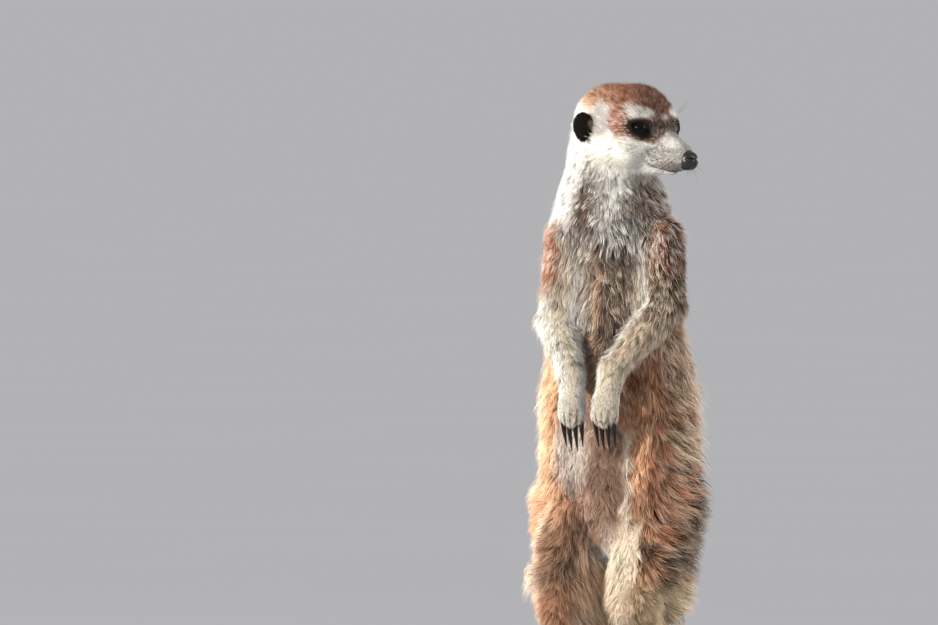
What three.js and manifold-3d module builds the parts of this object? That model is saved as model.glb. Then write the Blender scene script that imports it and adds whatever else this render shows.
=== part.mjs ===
// A meerkat standing upright on its hind legs, its tail propped on the floor behind it, its hands
// held in front of the belly and its head turned to its left. Life size, in millimetres.
// +Z is up and the body faces -Y, so its left side is +X. The solids reach out to the tips of the coat.
//
// The body is one rounded form: tapered masses that run between the joints, blended where flesh
// joins flesh. It is meshed at the fineness that each piece needs and parted by thin cuts.
import * as THREE from "three";
import { mergeVertices } from "three/addons/utils/BufferGeometryUtils.js";
import Module from "manifold-3d";

const wasm = await Module();
wasm.setup();

// ---- driving dimensions ----
const crownHeight = 318; // floor to the top of the head
const headTurn = 67; // degrees that the head is turned to the left of the chest
const cutWidth = 0.4; // gap left between neighbouring pieces
const clawGap = 0.75; // end of a finger or toe to the root of its claw
const sliver = 0.05; // edges shorter than this are closed up where a piece is cut
const eyeRadius = 4.9;
const lidOpening = 4.4; // radius of the hollow in front of each eye
const noseReach = 41.8; // head's centre to the tip of the nose, along the head
const handClaw = { length: 12.5, radius: 1.1, bend: 0.12 };
const footClaw = { length: 7.5, radius: 1.25, bend: 0.22 };
const fingerSpread = 3.1; // between the middles of neighbouring fingers
const toeSpread = 4.6;
const digits = [-1.5, -0.5, 0.5, 1.5]; // places of the four fingers or toes, in spreads
const sides = [1, -1]; // left and right

const point = (x, y, z) => new THREE.Vector3(x, y, z);
const even = (size) => point(size, size, size);
const up = point(0, 0, 1);
const across = point(1, 0, 0);
const backwards = point(0, 1, 0);
const forwards = point(0, -1, 0);

// ---- the head's own frame: ahead along the muzzle, out to the left, and up ----
const turn = THREE.MathUtils.degToRad(headTurn);
const headCentre = point(9, -3, crownHeight - 21.5);
const ahead = point(Math.sin(turn), -Math.cos(turn), 0);
const outLeft = point(-ahead.y, ahead.x, 0);

function onHead(forward, left, high) {
  return headCentre
    .clone()
    .addScaledVector(ahead, forward)
    .addScaledVector(outLeft, left)
    .addScaledVector(up, high);
}

// ---- joints, for the left (side 1) and right (side -1) limbs ----
const spine = {
  nape: point(-5, 4, 284),
  neckRoot: point(-3.4, 5, 252),
  shoulders: point(-0.5, 4, 237),
  ribs: point(0, 3, 212),
  waist: point(0, 2, 184),
  belly: point(0, 2, 156),
  loin: point(0, 3.5, 128),
  hips: point(-1.5, 7, 106),
  rump: point(-1.5, 10, 88),
  breech: point(-2, 3, 58),
};

// The right elbow hangs a little lower and closer to the flank than the left.
const armOf = (side) => ({
  shoulder: point(1.5 + side * 23.5, -5.5, 240),
  elbow: side > 0 ? point(30, -12, 206) : point(-25.5, -14, 198),
  wrist: point(side * 10.5, -40, side > 0 ? 175 : 172),
  palm: point(side * 8.6, -45.5, 158),
  knuckles: point(side * 8.4, -46.6, 152),
});

// The weight hangs over the right leg, whose knee stands further out and a little lower.
const legOf = (side) => ({
  hip: point(side * 18 - 2.2, 6, 106),
  knee: side > 0 ? point(17, -22, 58) : point(-21.5, -22, 55),
  hamstring: side > 0 ? point(19.5, 5, 62) : point(-22.5, 4, 60),
  shank: side > 0 ? point(17.5, -7, 41) : point(-20.5, -7, 40),
  ankle: point(side * 18.5, 13, 20),
  heel: point(side * 18.5, 16, 13.5),
  ball: point(side * 19.5, -17, 6.5),
});

const tailPath = [
  point(0, 30, 90),
  point(0, 52, 56),
  point(-1, 74, 27),
  point(-3, 98, 11.5),
  point(-6, 125, 6.2),
  point(-11, 155, 5),
  point(-19, 187.5, 4.2),
];
const tailRadii = [16, 11.5, 9, 7.6, 6.6, 5.8, 4.6];

// ---- masses: a mass runs from one joint to the next, is as wide as its two radii, and may be
// flattened (or widened) along one direction ----
function mass(from, to, startRadius, endRadius, along = up, share = 1) {
  const run = to.clone().sub(from);
  const squeeze = 1 / share - 1;
  return (p) => {
    const t = THREE.MathUtils.clamp(p.clone().sub(from).dot(run) / run.lengthSq(), 0, 1);
    const away = p.clone().sub(from).addScaledVector(run, -t);
    const reach = away.length();
    const stretched = away.addScaledVector(along, away.dot(along) * squeeze).length();
    const radius = startRadius + (endRadius - startRadius) * t;
    return stretched < 1e-6 ? -radius : (stretched - radius) * (reach / stretched);
  };
}

// The nearer of two surfaces, filled in smoothly over the given distance where they meet.
function blended(a, b, over) {
  const overlap = Math.max(over - Math.abs(a - b), 0) / over;
  return Math.min(a, b) - (overlap * overlap * over) / 4;
}

const joined = (over, ...masses) => (p) =>
  masses.map((m) => m(p)).reduce((a, b) => blended(a, b, over));

const onBothSides = (make) => sides.map(make);

const skull = joined(
  5,
  mass(onHead(-11, 0, 1.6), onHead(3.5, 0, 2), 20.2, 19.6, outLeft, 1.06),
  ...onBothSides((side) => mass(onHead(-6, side * 9, -9), onHead(7, side * 8, -11.5), 12.5, 12)),
  ...onBothSides((side) => mass(onHead(13.5, side * 10.5, 2), onHead(17, side * 9, -0.5), 7.3, 6.2)),
  mass(onHead(11, 0, -6), onHead(29.5, 0, -14.6), 13, 7.6),
  mass(onHead(29.5, 0, -14.6), onHead(noseReach - 5, 0, -17.8), 7.4, 4.9),
  mass(onHead(2, 0, -15), onHead(28, 0, -20.3), 11, 5),
);

const torso = joined(
  8,
  mass(spine.nape, spine.neckRoot, 21.5, 31, backwards, 0.95),
  mass(spine.neckRoot, spine.shoulders, 30.5, 31.5, backwards, 0.93),
  mass(spine.shoulders, spine.ribs, 31.5, 31.5, backwards, 0.93),
  mass(spine.ribs, spine.waist, 31.5, 37, backwards, 0.91),
  mass(spine.waist, spine.belly, 37, 40.5, backwards, 0.88),
  mass(spine.belly, spine.loin, 40.5, 41, backwards, 0.86),
  mass(spine.loin, spine.hips, 41, 38, backwards, 0.88),
  mass(spine.hips, spine.rump, 36, 29),
  mass(spine.rump, spine.breech, 22, 12),
);

const tail = (p) =>
  tailPath
    .slice(1)
    .map((end, i) => mass(tailPath[i], end, tailRadii[i], tailRadii[i + 1])(p))
    .reduce((a, b) => blended(a, b, 3));

function upperArm(side) {
  const { shoulder, elbow } = armOf(side);
  return mass(shoulder, elbow, 14.5, 12);
}

function fingerOf(side, place) {
  const root = armOf(side).knuckles.clone().add(point(place * fingerSpread, 0.6, 1));
  const tip = root.clone().add(point(place * 0.3, 0.8, 2.2 * Math.abs(place) - 6.6));
  return { root, tip };
}

function arm(side) {
  const { elbow, wrist, palm, knuckles } = armOf(side);
  const fingers = digits.map((place) => {
    const { root, tip } = fingerOf(side, place);
    return mass(root, tip, 2.5, 1.8);
  });
  return joined(
    3,
    upperArm(side),
    mass(elbow, wrist, 10.8, 7.2),
    mass(wrist, palm, 7.2, 7, backwards, 0.85),
    mass(palm, knuckles, 7, 6, backwards, 0.7),
    ...fingers,
  );
}

function thigh(side) {
  const { hip, knee, hamstring } = legOf(side);
  return joined(
    6,
    mass(hip, knee, 25.5, 15),
    mass(hip, hamstring, 25.5, 16.5),
  );
}

// A toe's root and tip; the two middle toes reach furthest.
function toeOf(side, place) {
  const { ball } = legOf(side);
  const reach = 22 - 2.4 * Math.abs(place) ** 1.5;
  const root = ball.clone().add(point(place * toeSpread * 0.8, 2, -1.6));
  const tip = ball.clone().add(point(place * toeSpread * 1.15, -reach, -3.4));
  return { root, tip };
}

function leg(side) {
  const { knee, shank, ankle, heel, ball } = legOf(side);
  const toes = digits.map((place) => {
    const { root, tip } = toeOf(side, place);
    return mass(root, tip, 4.6, 3.5);
  });
  return joined(
    3,
    thigh(side),
    mass(knee, shank, 14.5, 11.5),
    mass(shank, ankle, 11.5, 7.5),
    mass(ankle, heel, 7.5, 6.8),
    mass(heel, ball, 7, 7, across, 1.15),
    ...toes,
  );
}

// The trunk, neck, head, shoulders, thighs and tail root are filled in where they join. The free
// arms and legs are not, so that they stay clear forms against the belly and each other.
const freeLimbs = [...onBothSides(arm), ...onBothSides(leg)];
const rootedMasses = [torso, ...onBothSides(upperArm), ...onBothSides(thigh)];

function trunk(p) {
  const withLimbs = rootedMasses.map((m) => m(p)).reduce((a, b) => blended(a, b, 7));
  const withHead = blended(withLimbs, skull(p), 6);
  return blended(withHead, tail(p), 10);
}

const body = (p) => Math.min(trunk(p), ...freeLimbs.map((limb) => limb(p)));

// ---- meshing: one vertex in each grid cell that the surface crosses, at the mean of the
// crossings on its edges, and two triangles round each grid edge that it crosses ----
function meshOf(field, box, cell) {
  const low = box.min.clone().addScaledVector(cell, -2);
  const count = box.getSize(point(0, 0, 0)).divide(cell).toArray();
  const [nx, ny, nz] = count.map((n) => Math.ceil(n) + 6);
  const index = (i, j, k) => i + nx * (j + ny * k);
  const corner = (i, j, k) => point(i, j, k).multiply(cell).add(low);

  const value = new Float64Array(nx * ny * nz);
  for (let k = 0; k < nz; k++)
    for (let j = 0; j < ny; j++)
      for (let i = 0; i < nx; i++) {
        const rim = Math.min(i, j, k, nx - 1 - i, ny - 1 - j, nz - 1 - k) < 2;
        value[index(i, j, k)] = rim ? cell.x : field(corner(i, j, k));
      }

  // Where four corners of a grid face lie in and out in turn, one more is taken in, so that no two
  // walls meet in one edge.
  const steps = [1, nx, nx * ny];
  const isIn = (at) => value[at] < 0;
  for (let changed = true; changed; ) {
    changed = false;
    for (let at = 0; at < value.length - steps[1] - steps[2]; at++)
      for (let axis = 0; axis < 3; axis++) {
        const next = at + steps[axis];
        const beside = at + steps[(axis + 1) % 3];
        const opposite = next + steps[(axis + 1) % 3];
        if (isIn(at) !== isIn(opposite) || isIn(next) !== isIn(beside)) continue;
        if (isIn(at) === isIn(next)) continue;
        value[isIn(at) ? next : at] = -0.02 * cell.x;
        changed = true;
      }
  }

  const vertexOf = new Map();
  const vertices = [];
  function vertexIn(i, j, k) {
    const key = index(i, j, k);
    if (vertexOf.has(key)) return vertexOf.get(key);
    const sum = point(0, 0, 0);
    let crossings = 0;
    for (let axis = 0; axis < 3; axis++)
      for (let side = 0; side < 4; side++) {
        const start = [0, 0, 0];
        start[(axis + 1) % 3] = side & 1;
        start[(axis + 2) % 3] = side >> 1;
        const a = value[index(i + start[0], j + start[1], k + start[2])];
        const b = value[index(i + start[0], j + start[1], k + start[2]) + steps[axis]];
        if (a < 0 === b < 0) continue;
        start[axis] = a / (a - b);
        sum.add(point(...start));
        crossings++;
      }
    const place = sum.divideScalar(crossings).add(point(i, j, k)).multiply(cell).add(low);
    vertexOf.set(key, vertices.length / 3);
    vertices.push(...place.toArray());
    return vertexOf.get(key);
  }

  const triangles = [];
  for (let k = 1; k < nz - 1; k++)
    for (let j = 1; j < ny - 1; j++)
      for (let i = 1; i < nx - 1; i++)
        for (let axis = 0; axis < 3; axis++) {
          const inside = value[index(i, j, k)] < 0;
          if (inside === value[index(i, j, k) + steps[axis]] < 0) continue;
          const u = [0, 0, 0];
          const v = [0, 0, 0];
          u[(axis + 1) % 3] = 1;
          v[(axis + 2) % 3] = 1;
          const around = [
            vertexIn(i, j, k),
            vertexIn(i - u[0], j - u[1], k - u[2]),
            vertexIn(i - u[0] - v[0], j - u[1] - v[1], k - u[2] - v[2]),
            vertexIn(i - v[0], j - v[1], k - v[2]),
          ];
          if (!inside) around.reverse();
          const [a, b, c, d] = around;
          triangles.push(a, b, c, a, c, d);
        }
  return new THREE.BufferGeometry()
    .setAttribute("position", new THREE.Float32BufferAttribute(vertices, 3))
    .setIndex(triangles);
}

// ---- solids ----
function solidOf(geometry) {
  const bare = geometry.clone();
  bare.deleteAttribute("normal");
  bare.deleteAttribute("uv");
  const merged = mergeVertices(bare, 1e-4);
  return new wasm.Manifold(
    new wasm.Mesh({
      numProp: 3,
      vertProperties: merged.attributes.position.array,
      triVerts: new Uint32Array(merged.index.array),
      tolerance: sliver,
    }),
  );
}

function geometryOf(solid) {
  const { numProp, vertProperties, triVerts } = solid.getMesh();
  if (numProp !== 3) throw new Error("a solid here holds only positions");
  const geometry = new THREE.BufferGeometry()
    .setAttribute("position", new THREE.BufferAttribute(vertProperties, 3))
    .setIndex(new THREE.BufferAttribute(triVerts, 1));
  geometry.computeVertexNormals();
  return geometry;
}

const largestOf = (solid) =>
  solid.decompose().reduce((a, b) => (a.volume() > b.volume() ? a : b));

const ballAt = (centre, radius, detail = 2) =>
  solidOf(new THREE.IcosahedronGeometry(radius, detail).translate(...centre.toArray()));

// A cutting block from one point to another: `wide` each way across it, `inner` and `outer` towards
// its back and its face. `face` says which way the face looks.
function block(from, to, wide, inner, outer, face) {
  const along = to.clone().sub(from);
  const length = along.length();
  const axis = along.normalize();
  const crosswise = new THREE.Vector3().crossVectors(face, axis).normalize();
  const outward = new THREE.Vector3().crossVectors(axis, crosswise);
  const middle = from
    .clone()
    .addScaledVector(axis, length / 2)
    .addScaledVector(outward, (outer - inner) / 2);
  const frame = new THREE.Matrix4().makeBasis(crosswise, outward, axis).setPosition(middle);
  const sized = (grow) =>
    new THREE.BoxGeometry(2 * (wide + grow), inner + outer + 2 * grow, length + 2 * grow)
      .applyMatrix4(frame);
  return {
    solid: solidOf(sized(0)),
    grown: solidOf(sized(cutWidth)),
    bounds: new THREE.Box3().setFromBufferAttribute(sized(0).attributes.position),
  };
}

const floorBlock = solidOf(new THREE.BoxGeometry(600, 600, 100).translate(0, 0, -50));
const bodyBounds = new THREE.Box3(point(-56, -60, 0), point(60, 196, crownHeight + 4));

// ---- materials ----
const finish = (color, roughness) =>
  new THREE.MeshStandardMaterial({ color, roughness, metalness: 0 });
const coat = {
  head: finish(0xcdb8a2, 0.9),
  body: finish(0xa68b74, 0.9),
  limbs: finish(0xc9b398, 0.9),
  tailTip: finish(0x2a201b, 0.85),
  ear: finish(0x16120f, 0.85),
};
const leather = finish(0x14110f, 0.45);
const glass = finish(0x120c09, 0.08);
const horn = finish(0x17120f, 0.35);

const meerkat = new THREE.Group();

function addPiece(name, geometry, material) {
  const mesh = new THREE.Mesh(geometry, material);
  mesh.name = name;
  meerkat.add(mesh);
}

const sideName = (side) => (side > 0 ? "left" : "right");

// ---- pieces of the body, cut free one after the other; each takes what its block holds ----
const cutFree = [];

const untrimmed = (solid) => solid;

function fleshPiece(name, cell, cutter, material, trim = untrimmed, form = body) {
  const region = cutter.bounds.clone().intersect(bodyBounds);
  region.min.sub(cell);
  region.max.add(cell);
  let solid = solidOf(meshOf(form, region, cell)).intersect(cutter.solid);
  for (const earlier of cutFree)
    if (earlier.bounds.intersectsBox(cutter.bounds)) solid = solid.subtract(earlier.grown);
  solid = largestOf(trim(solid.subtract(floorBlock)));
  cutFree.push(cutter);
  addPiece(name, geometryOf(solid), material);
}

// An ear is a low shield, narrow at its foot, that faces outwards and forwards. It is a ball pressed
// flat, with the face that looks outwards dished.
const ear = { halfWidth: 6.6, halfHeight: 9.3, back: 3, rim: 1.4, dish: 2.8, narrowing: 0.45 };

function earSolid(side, grow) {
  const centre = onHead(-12.4, side * 22.8, -1);
  const facing = onHead(0.47, side * 0.88, 0).sub(headCentre).normalize();
  const alongEar = new THREE.Vector3().crossVectors(facing, up);
  const shape = new THREE.SphereGeometry(1, 12, 9);
  const places = shape.attributes.position;
  for (let i = 0; i < places.count; i++) {
    const [wide, deep, high] = [places.getX(i), places.getZ(i), places.getY(i)];
    const taper = 1 + ear.narrowing * Math.min(high, 0);
    const dished = deep > 0 ? deep * (ear.rim + grow - ear.dish * deep) : deep * (ear.back + grow);
    const place = centre
      .clone()
      .addScaledVector(alongEar, -wide * (ear.halfWidth + grow) * taper)
      .addScaledVector(facing, dished)
      .addScaledVector(up, high * (ear.halfHeight + grow));
    places.setXYZ(i, ...place.toArray());
  }
  return solidOf(shape);
}

const eyePlace = (side, out = 0) =>
  onHead(15.9 + 0.55 * out, side * (11.8 + 0.83 * out), -1.6);
const noseBlock = block(onHead(noseReach - 5, 0, -17), onHead(noseReach + 4, 0, -17), 9, 9, 9, up);
const headBlock = block(onHead(-4, 0, -21), onHead(16, 0, 34), 45, 50, 60, ahead);
const neckBlock = block(point(0, 5, 252), point(0, 4, 300), 60, 60, 60, backwards);

fleshPiece("nose", even(2.3), noseBlock, leather);
fleshPiece("head", even(5.8), headBlock, coat.head, (solid) =>
  sides.reduce(
    (left, side) =>
      left
        .subtract(ballAt(eyePlace(side), eyeRadius + 2 * cutWidth, 1))
        .subtract(ballAt(eyePlace(side, 3), lidOpening, 1))
        .subtract(earSolid(side, cutWidth)),
    solid,
  ),
);
fleshPiece("neck", point(8.5, 8.5, 9), neckBlock, coat.body);

for (const side of sides) {
  addPiece("eye_" + sideName(side), geometryOf(ballAt(eyePlace(side), eyeRadius)), glass);
  addPiece("ear_" + sideName(side), geometryOf(earSolid(side, 0)), coat.ear);
}

for (const side of sides) {
  const { shoulder, elbow, wrist, palm } = armOf(side);
  const outwards = point(side * 0.55, -0.83, 0);
  const handEnd = palm.clone().add(point(0, 0, -20));
  fleshPiece("hand_" + sideName(side), point(3.4, 3.4, 4.8),
    block(wrist, handEnd, 8.4, 6.4, 12, forwards), coat.limbs);
  fleshPiece("forearm_" + sideName(side), even(5.8),
    block(elbow, wrist, 11, 7, 16, outwards), coat.limbs);
  const armTop = shoulder.clone().add(point(-side, 0, 13));
  const armEnd = elbow.clone().add(point(0, 1, -13));
  fleshPiece("upper_arm_" + sideName(side), point(6, 6, 9.5),
    block(armTop, armEnd, 14, 8, 20, point(side, -0.15, 0)), coat.body);
}

for (const side of sides) {
  const { hip, knee, ankle, ball } = legOf(side);
  const footTop = point(ball.x, 0, 19);
  fleshPiece("foot_" + sideName(side), point(4.1, 6, 3.8),
    block(footTop, point(ball.x, 0, -4), 18, 30, 50, forwards), coat.limbs);
  const shankTop = knee.clone().add(point(0, 0, -8));
  fleshPiece("shank_" + sideName(side), even(7.3),
    block(shankTop, ankle.clone().add(point(0, 3, -9)), 17, 22, 22, forwards), coat.limbs);
  const thighTop = hip.clone().add(point(side * 6, 4, 10));
  fleshPiece("thigh_" + sideName(side), point(8.5, 8.5, 13),
    block(thighTop, knee.clone().add(point(0, 3, -16)), 21, 34, 26, forwards), coat.body);
}

const tailCuts = [0.6, 2.5, 5.2, tailPath.length - 1];
const tailCells = [even(7.4), point(5.4, 10.5, 5), point(3.9, 6.2, 3.9)];
const alongTail = (t) => {
  const i = Math.min(Math.floor(t), tailPath.length - 2);
  return tailPath[i].clone().lerp(tailPath[i + 1], t - i);
};
["tail_base", "tail_middle", "tail_tip"].forEach((name, i) => {
  const start = alongTail(tailCuts[i]);
  const end = alongTail(tailCuts[i + 1]);
  const last = i === 2;
  if (last) end.addScaledVector(end.clone().sub(start).normalize(), 8);
  fleshPiece(name, tailCells[i], block(start, end, 22, 26, 26, up),
    last ? coat.tailTip : coat.body);
});

const trunkBlock = (top, bottom) => block(top, bottom, 60, 60, 60, backwards);
const chestEnd = 190;
fleshPiece("chest", point(10, 10, 14), trunkBlock(point(0, 0, 256), point(0, 0, chestEnd)),
  coat.body, untrimmed, trunk);
fleshPiece("belly", point(11.5, 11.5, 15), trunkBlock(point(0, 0, chestEnd - cutWidth), point(0, 0, 40)),
  coat.body, untrimmed, trunk);

// ---- claws: blunt curved spikes that start just past the end of each finger and toe ----
function clawGeometry(root, direction, bendTowards, { length, radius, bend }) {
  const spike = new THREE.CylinderGeometry(0.14, 1, 1, 5, 2).translate(0, 0.5, 0);
  const wide = new THREE.Vector3().crossVectors(bendTowards, direction).normalize();
  const deep = new THREE.Vector3().crossVectors(direction, wide);
  const places = spike.attributes.position;
  for (let i = 0; i < places.count; i++) {
    const along = places.getY(i);
    const place = root
      .clone()
      .addScaledVector(direction, along * length)
      .addScaledVector(deep, bend * length * along ** 2 + places.getX(i) * radius * 1.2)
      .addScaledVector(wide, places.getZ(i) * radius);
    places.setXYZ(i, ...place.toArray());
  }
  return geometryOf(solidOf(spike));
}

const clawNames = ["outer", "middle_outer", "middle_inner", "inner"];
for (const side of sides)
  digits.forEach((place, i) => {
    const name = clawNames[side > 0 ? 3 - i : i] + "_" + sideName(side);
    const finger = fingerOf(side, place);
    const fingerEnd = finger.tip.clone().add(point(0, 0.3, -2.1 - clawGap));
    const down = point(-place * 0.03, 0.16, -1).normalize();
    addPiece("hand_claw_" + name, clawGeometry(fingerEnd, down, backwards, handClaw), horn);
    const toe = toeOf(side, place);
    const toeEnd = toe.tip.clone().add(point(0, -3.5 - clawGap, 0.4));
    const out = point(place * 0.05, -1, 0).normalize();
    const below = point(0, 0, -1);
    addPiece("foot_claw_" + name, clawGeometry(toeEnd, out, below, footClaw), horn);
  });

// The part's origin is under the middle of its outline, on the floor.
const outline = new THREE.Box3().setFromObject(meerkat);
const middle = outline.getCenter(point(0, 0, 0));
meerkat.position.set(-middle.x, -middle.y, -outline.min.z);

export default meerkat;
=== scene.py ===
import math
import bmesh
import bpy
import numpy as np
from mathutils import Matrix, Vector
from mathutils.kdtree import KDTree


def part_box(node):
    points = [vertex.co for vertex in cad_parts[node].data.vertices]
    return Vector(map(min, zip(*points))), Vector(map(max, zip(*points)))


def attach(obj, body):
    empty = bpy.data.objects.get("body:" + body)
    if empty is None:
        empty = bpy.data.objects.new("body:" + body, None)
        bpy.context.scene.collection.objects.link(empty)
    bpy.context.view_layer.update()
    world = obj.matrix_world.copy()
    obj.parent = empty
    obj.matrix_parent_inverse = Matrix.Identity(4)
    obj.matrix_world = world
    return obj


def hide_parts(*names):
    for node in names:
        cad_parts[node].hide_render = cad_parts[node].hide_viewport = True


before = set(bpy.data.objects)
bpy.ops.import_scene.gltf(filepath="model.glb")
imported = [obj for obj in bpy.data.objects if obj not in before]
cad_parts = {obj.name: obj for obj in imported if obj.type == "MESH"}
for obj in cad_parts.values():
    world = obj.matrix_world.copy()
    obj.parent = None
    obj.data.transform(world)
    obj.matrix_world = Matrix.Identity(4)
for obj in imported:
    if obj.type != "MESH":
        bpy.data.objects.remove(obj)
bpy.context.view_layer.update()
dice = np.random.default_rng(41)

# The measures are in millimetres, as the solids have them: +Z is up, the body faces -Y and its left side
# is +X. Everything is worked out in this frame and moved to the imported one, in metres, when a mesh is made.
pose = {"crownHeight": 318, "headTurn": 67, "noseReach": 41.8, "fingerSpread": 3, "toeSpread": 4.6}
digits = (-1.5, -0.5, 0.5, 1.5)
sides = (1, -1)
sideName = {1: "left", -1: "right"}

turn = math.radians(pose["headTurn"])
headCentre = np.array([9, -3, pose["crownHeight"] - 21.5])
ahead = np.array([math.sin(turn), -math.cos(turn), 0])
outLeft = np.array([-ahead[1], ahead[0], 0])
headAxes = np.array([ahead, outLeft, [0, 0, 1]])
across = np.array([1.0, 0, 0])
backwards = np.array([0, 1.0, 0])
up = np.array([0, 0, 1.0])


def onHead(forward, left, high):
    return headCentre + np.array([forward, left, high]) @ headAxes


def toHead(points):
    return (points - headCentre) @ headAxes.T


def unit(v):
    return v / np.maximum(np.linalg.norm(v, axis=-1, keepdims=True), 1e-9)


def smooth(low, high, x):
    t = np.clip((x - low) / (high - low), 0, 1)
    return t * t * (3 - 2 * t)


def bell(x, width):
    return np.exp(-(x / width) ** 2)


def between(x, start, full, fading, end):
    # 0 up to start, 1 from full to fading, 0 again from end
    return smooth(start, full, x) * smooth(end, fading, x)


def linked(name, data):
    thing = bpy.data.objects.new(name, data)
    bpy.context.scene.collection.objects.link(thing)
    return thing


def eyeSpot(side):
    return np.array([15.9, side * 11.8, -1.6])


def eyeCentre(side):
    return onHead(*eyeSpot(side))


eyeBox = np.array(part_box("eye_left"))
shift = eyeBox.mean(axis=0) * 1000 - eyeCentre(1)


def placed(points):
    return (np.asarray(points) + shift) / 1000


# A mass of flesh runs from one joint to the next. coat is how deep the fur stands on it, so the bare form
# lies that much inside the solids.
def mass(start, end, startRadius, endRadius, coat, along=up, share=1.0):
    return {"start": np.array(start, float), "end": np.array(end, float), "radii": (startRadius, endRadius),
            "coat": coat, "along": along, "share": share}


def distanceTo(m, p, bare=1.0):
    run = m["end"] - m["start"]
    t = np.clip((p - m["start"]) @ run / (run @ run), 0, 1)
    away = p - m["start"] - t[:, None] * run
    reach = np.linalg.norm(away, axis=1)
    radius = m["radii"][0] + (m["radii"][1] - m["radii"][0]) * t - bare * m["coat"]
    if m["share"] == 1.0:
        return reach - radius
    squeeze = (away @ m["along"])[:, None] * m["along"] * (1 / m["share"] - 1)
    stretched = np.linalg.norm(away + squeeze, axis=1)
    return (stretched - radius) * reach / np.maximum(stretched, 1e-6)


def blended(a, b, over):
    overlap = np.maximum(over - np.abs(a - b), 0) / over
    return np.minimum(a, b) - overlap * overlap * over / 4


def carved(a, b, over):
    return -blended(-a, b, over)


skull = [mass(onHead(-11, 0, 1.6), onHead(3.5, 0, 2), 20.2, 19.6, 2.3, outLeft, 1.06)]
for side in sides:
    skull += [
        mass(onHead(-6, side * 9, -9), onHead(7, side * 8, -11.5), 12.5, 12, 2.6),
        mass(onHead(13.5, side * 10.5, 2), onHead(17, side * 9, -0.5), 7.3, 6.2, 1.5),
        mass(onHead(-8, side * 12, -1), onHead(-11.4, side * 17.2, -1.5), 7, 5, 0.4),
    ]
skull += [
    mass(onHead(11, 0, -6), onHead(29.5, 0, -14.6), 13, 7.6, 1.2),
    mass(onHead(29.5, 0, -14.6), onHead(pose["noseReach"] - 5, 0, -17.8), 7.4, 4.9, 0.8),
    mass(onHead(2, 0, -15), onHead(28, 0, -20.3), 11, 5, 1.4),
]
spine = [((-5, 4, 284), 21.5), ((-3.4, 5, 252), 30.8), ((-0.5, 4, 237), 31.5), ((0, 3, 212), 31.5),
         ((0, 2, 184), 37), ((0, 2, 156), 40.5), ((0, 3.5, 128), 41), ((-1.5, 7, 106), 37),
         ((-1.5, 10, 88), 29)]
spineCoats = (5, 6.5, 6.5, 7, 7, 7, 7, 7)
spineShares = (0.95, 0.93, 0.93, 0.91, 0.88, 0.86, 0.88, 0.99)
torso = [mass(a, b, ra, rb, coat, backwards, share)
         for (a, ra), (b, rb), coat, share in zip(spine, spine[1:], spineCoats, spineShares)]
torso.append(mass(spine[-1][0], (-2, 3, 58), 22, 12, 4))
tailPath = [(0, 30, 90), (0, 52, 56), (-1, 74, 27), (-3, 98, 11.5), (-6, 125, 6.2), (-11, 155, 5),
            (-19, 187.5, 4.2)]
tailRadii = (16, 11.5, 9, 7.6, 6.6, 5.8, 4.6)
tailCoats = (6, 4, 3, 2.6, 2.2, 1.8)
tail = [mass(*ends, *radii, coat) for ends, radii, coat in
        zip(zip(tailPath, tailPath[1:]), zip(tailRadii, tailRadii[1:]), tailCoats)]


def armJoints(side):
    return {"shoulder": (1.5 + side * 23.5, -5.5, 240),
            "elbow": (30, -12, 206) if side > 0 else (-25.5, -14, 198),
            "wrist": (side * 10.5, -40, 175 if side > 0 else 172), "palm": (side * 8.6, -45.5, 158),
            "knuckles": (side * 8.4, -46.6, 152)}


def legJoints(side):
    return {"hip": (side * 18 - 2.2, 6, 106), "knee": (17, -22, 58) if side > 0 else (-21.5, -22, 55),
            "hamstring": (19.5, 5, 62) if side > 0 else (-22.5, 4, 60),
            "shank": (17.5, -7, 41) if side > 0 else (-20.5, -7, 40), "ankle": (side * 18.5, 13, 20),
            "heel": (side * 18.5, 16, 13.5), "ball": (side * 19.5, -17, 6.5)}


def fingerOf(side, place):
    root = np.array(armJoints(side)["knuckles"]) + (place * pose["fingerSpread"], 0.6, 1)
    return root, root + (place * 0.3, 0.8, 2.2 * abs(place) - 6.6)


def toeOf(side, place):
    ball = np.array(legJoints(side)["ball"])
    return (ball + (place * pose["toeSpread"] * 0.8, 2, -1.6),
            ball + (place * pose["toeSpread"] * 1.15, -22 + 2.4 * abs(place) ** 1.5, -3.4))


def upperArm(side):
    j = armJoints(side)
    return [mass(j["shoulder"], j["elbow"], 14.5, 12, 4.2)]


def forearm(side):
    j = armJoints(side)
    return [mass(j["elbow"], j["wrist"], 10.8, 7.2, 2.2)]


def hand(side):
    j = armJoints(side)
    palms = [mass(j["wrist"], j["palm"], 7.2, 7, 1.2, backwards, 0.85),
             mass(j["palm"], j["knuckles"], 7, 6, 0.9, backwards, 0.7)]
    return palms + [mass(*fingerOf(side, place), 2.5, 1.8, 0.5) for place in digits]


def thigh(side):
    j = legJoints(side)
    return [mass(j["hip"], j["knee"], 25.5, 15, 7), mass(j["hip"], j["hamstring"], 25.5, 16.5, 7)]


def shank(side):
    j = legJoints(side)
    return [mass(j["knee"], j["shank"], 14.5, 11.5, 4.2), mass(j["shank"], j["ankle"], 11.5, 7.5, 2.4)]


def foot(side):
    j = legJoints(side)
    soles = [mass(j["ankle"], j["heel"], 7.5, 6.8, 1.3),
             mass(j["heel"], j["ball"], 7, 7, 0.8, across, 1.15)]
    return soles + [mass(*toeOf(side, place), 4.6, 3.5, 0.6) for place in digits]


def joined(p, masses, over, bare=1.0):
    whole = distanceTo(masses[0], p, bare)
    for m in masses[1:]:
        whole = blended(whole, distanceTo(m, p, bare), over)
    return whole


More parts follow.
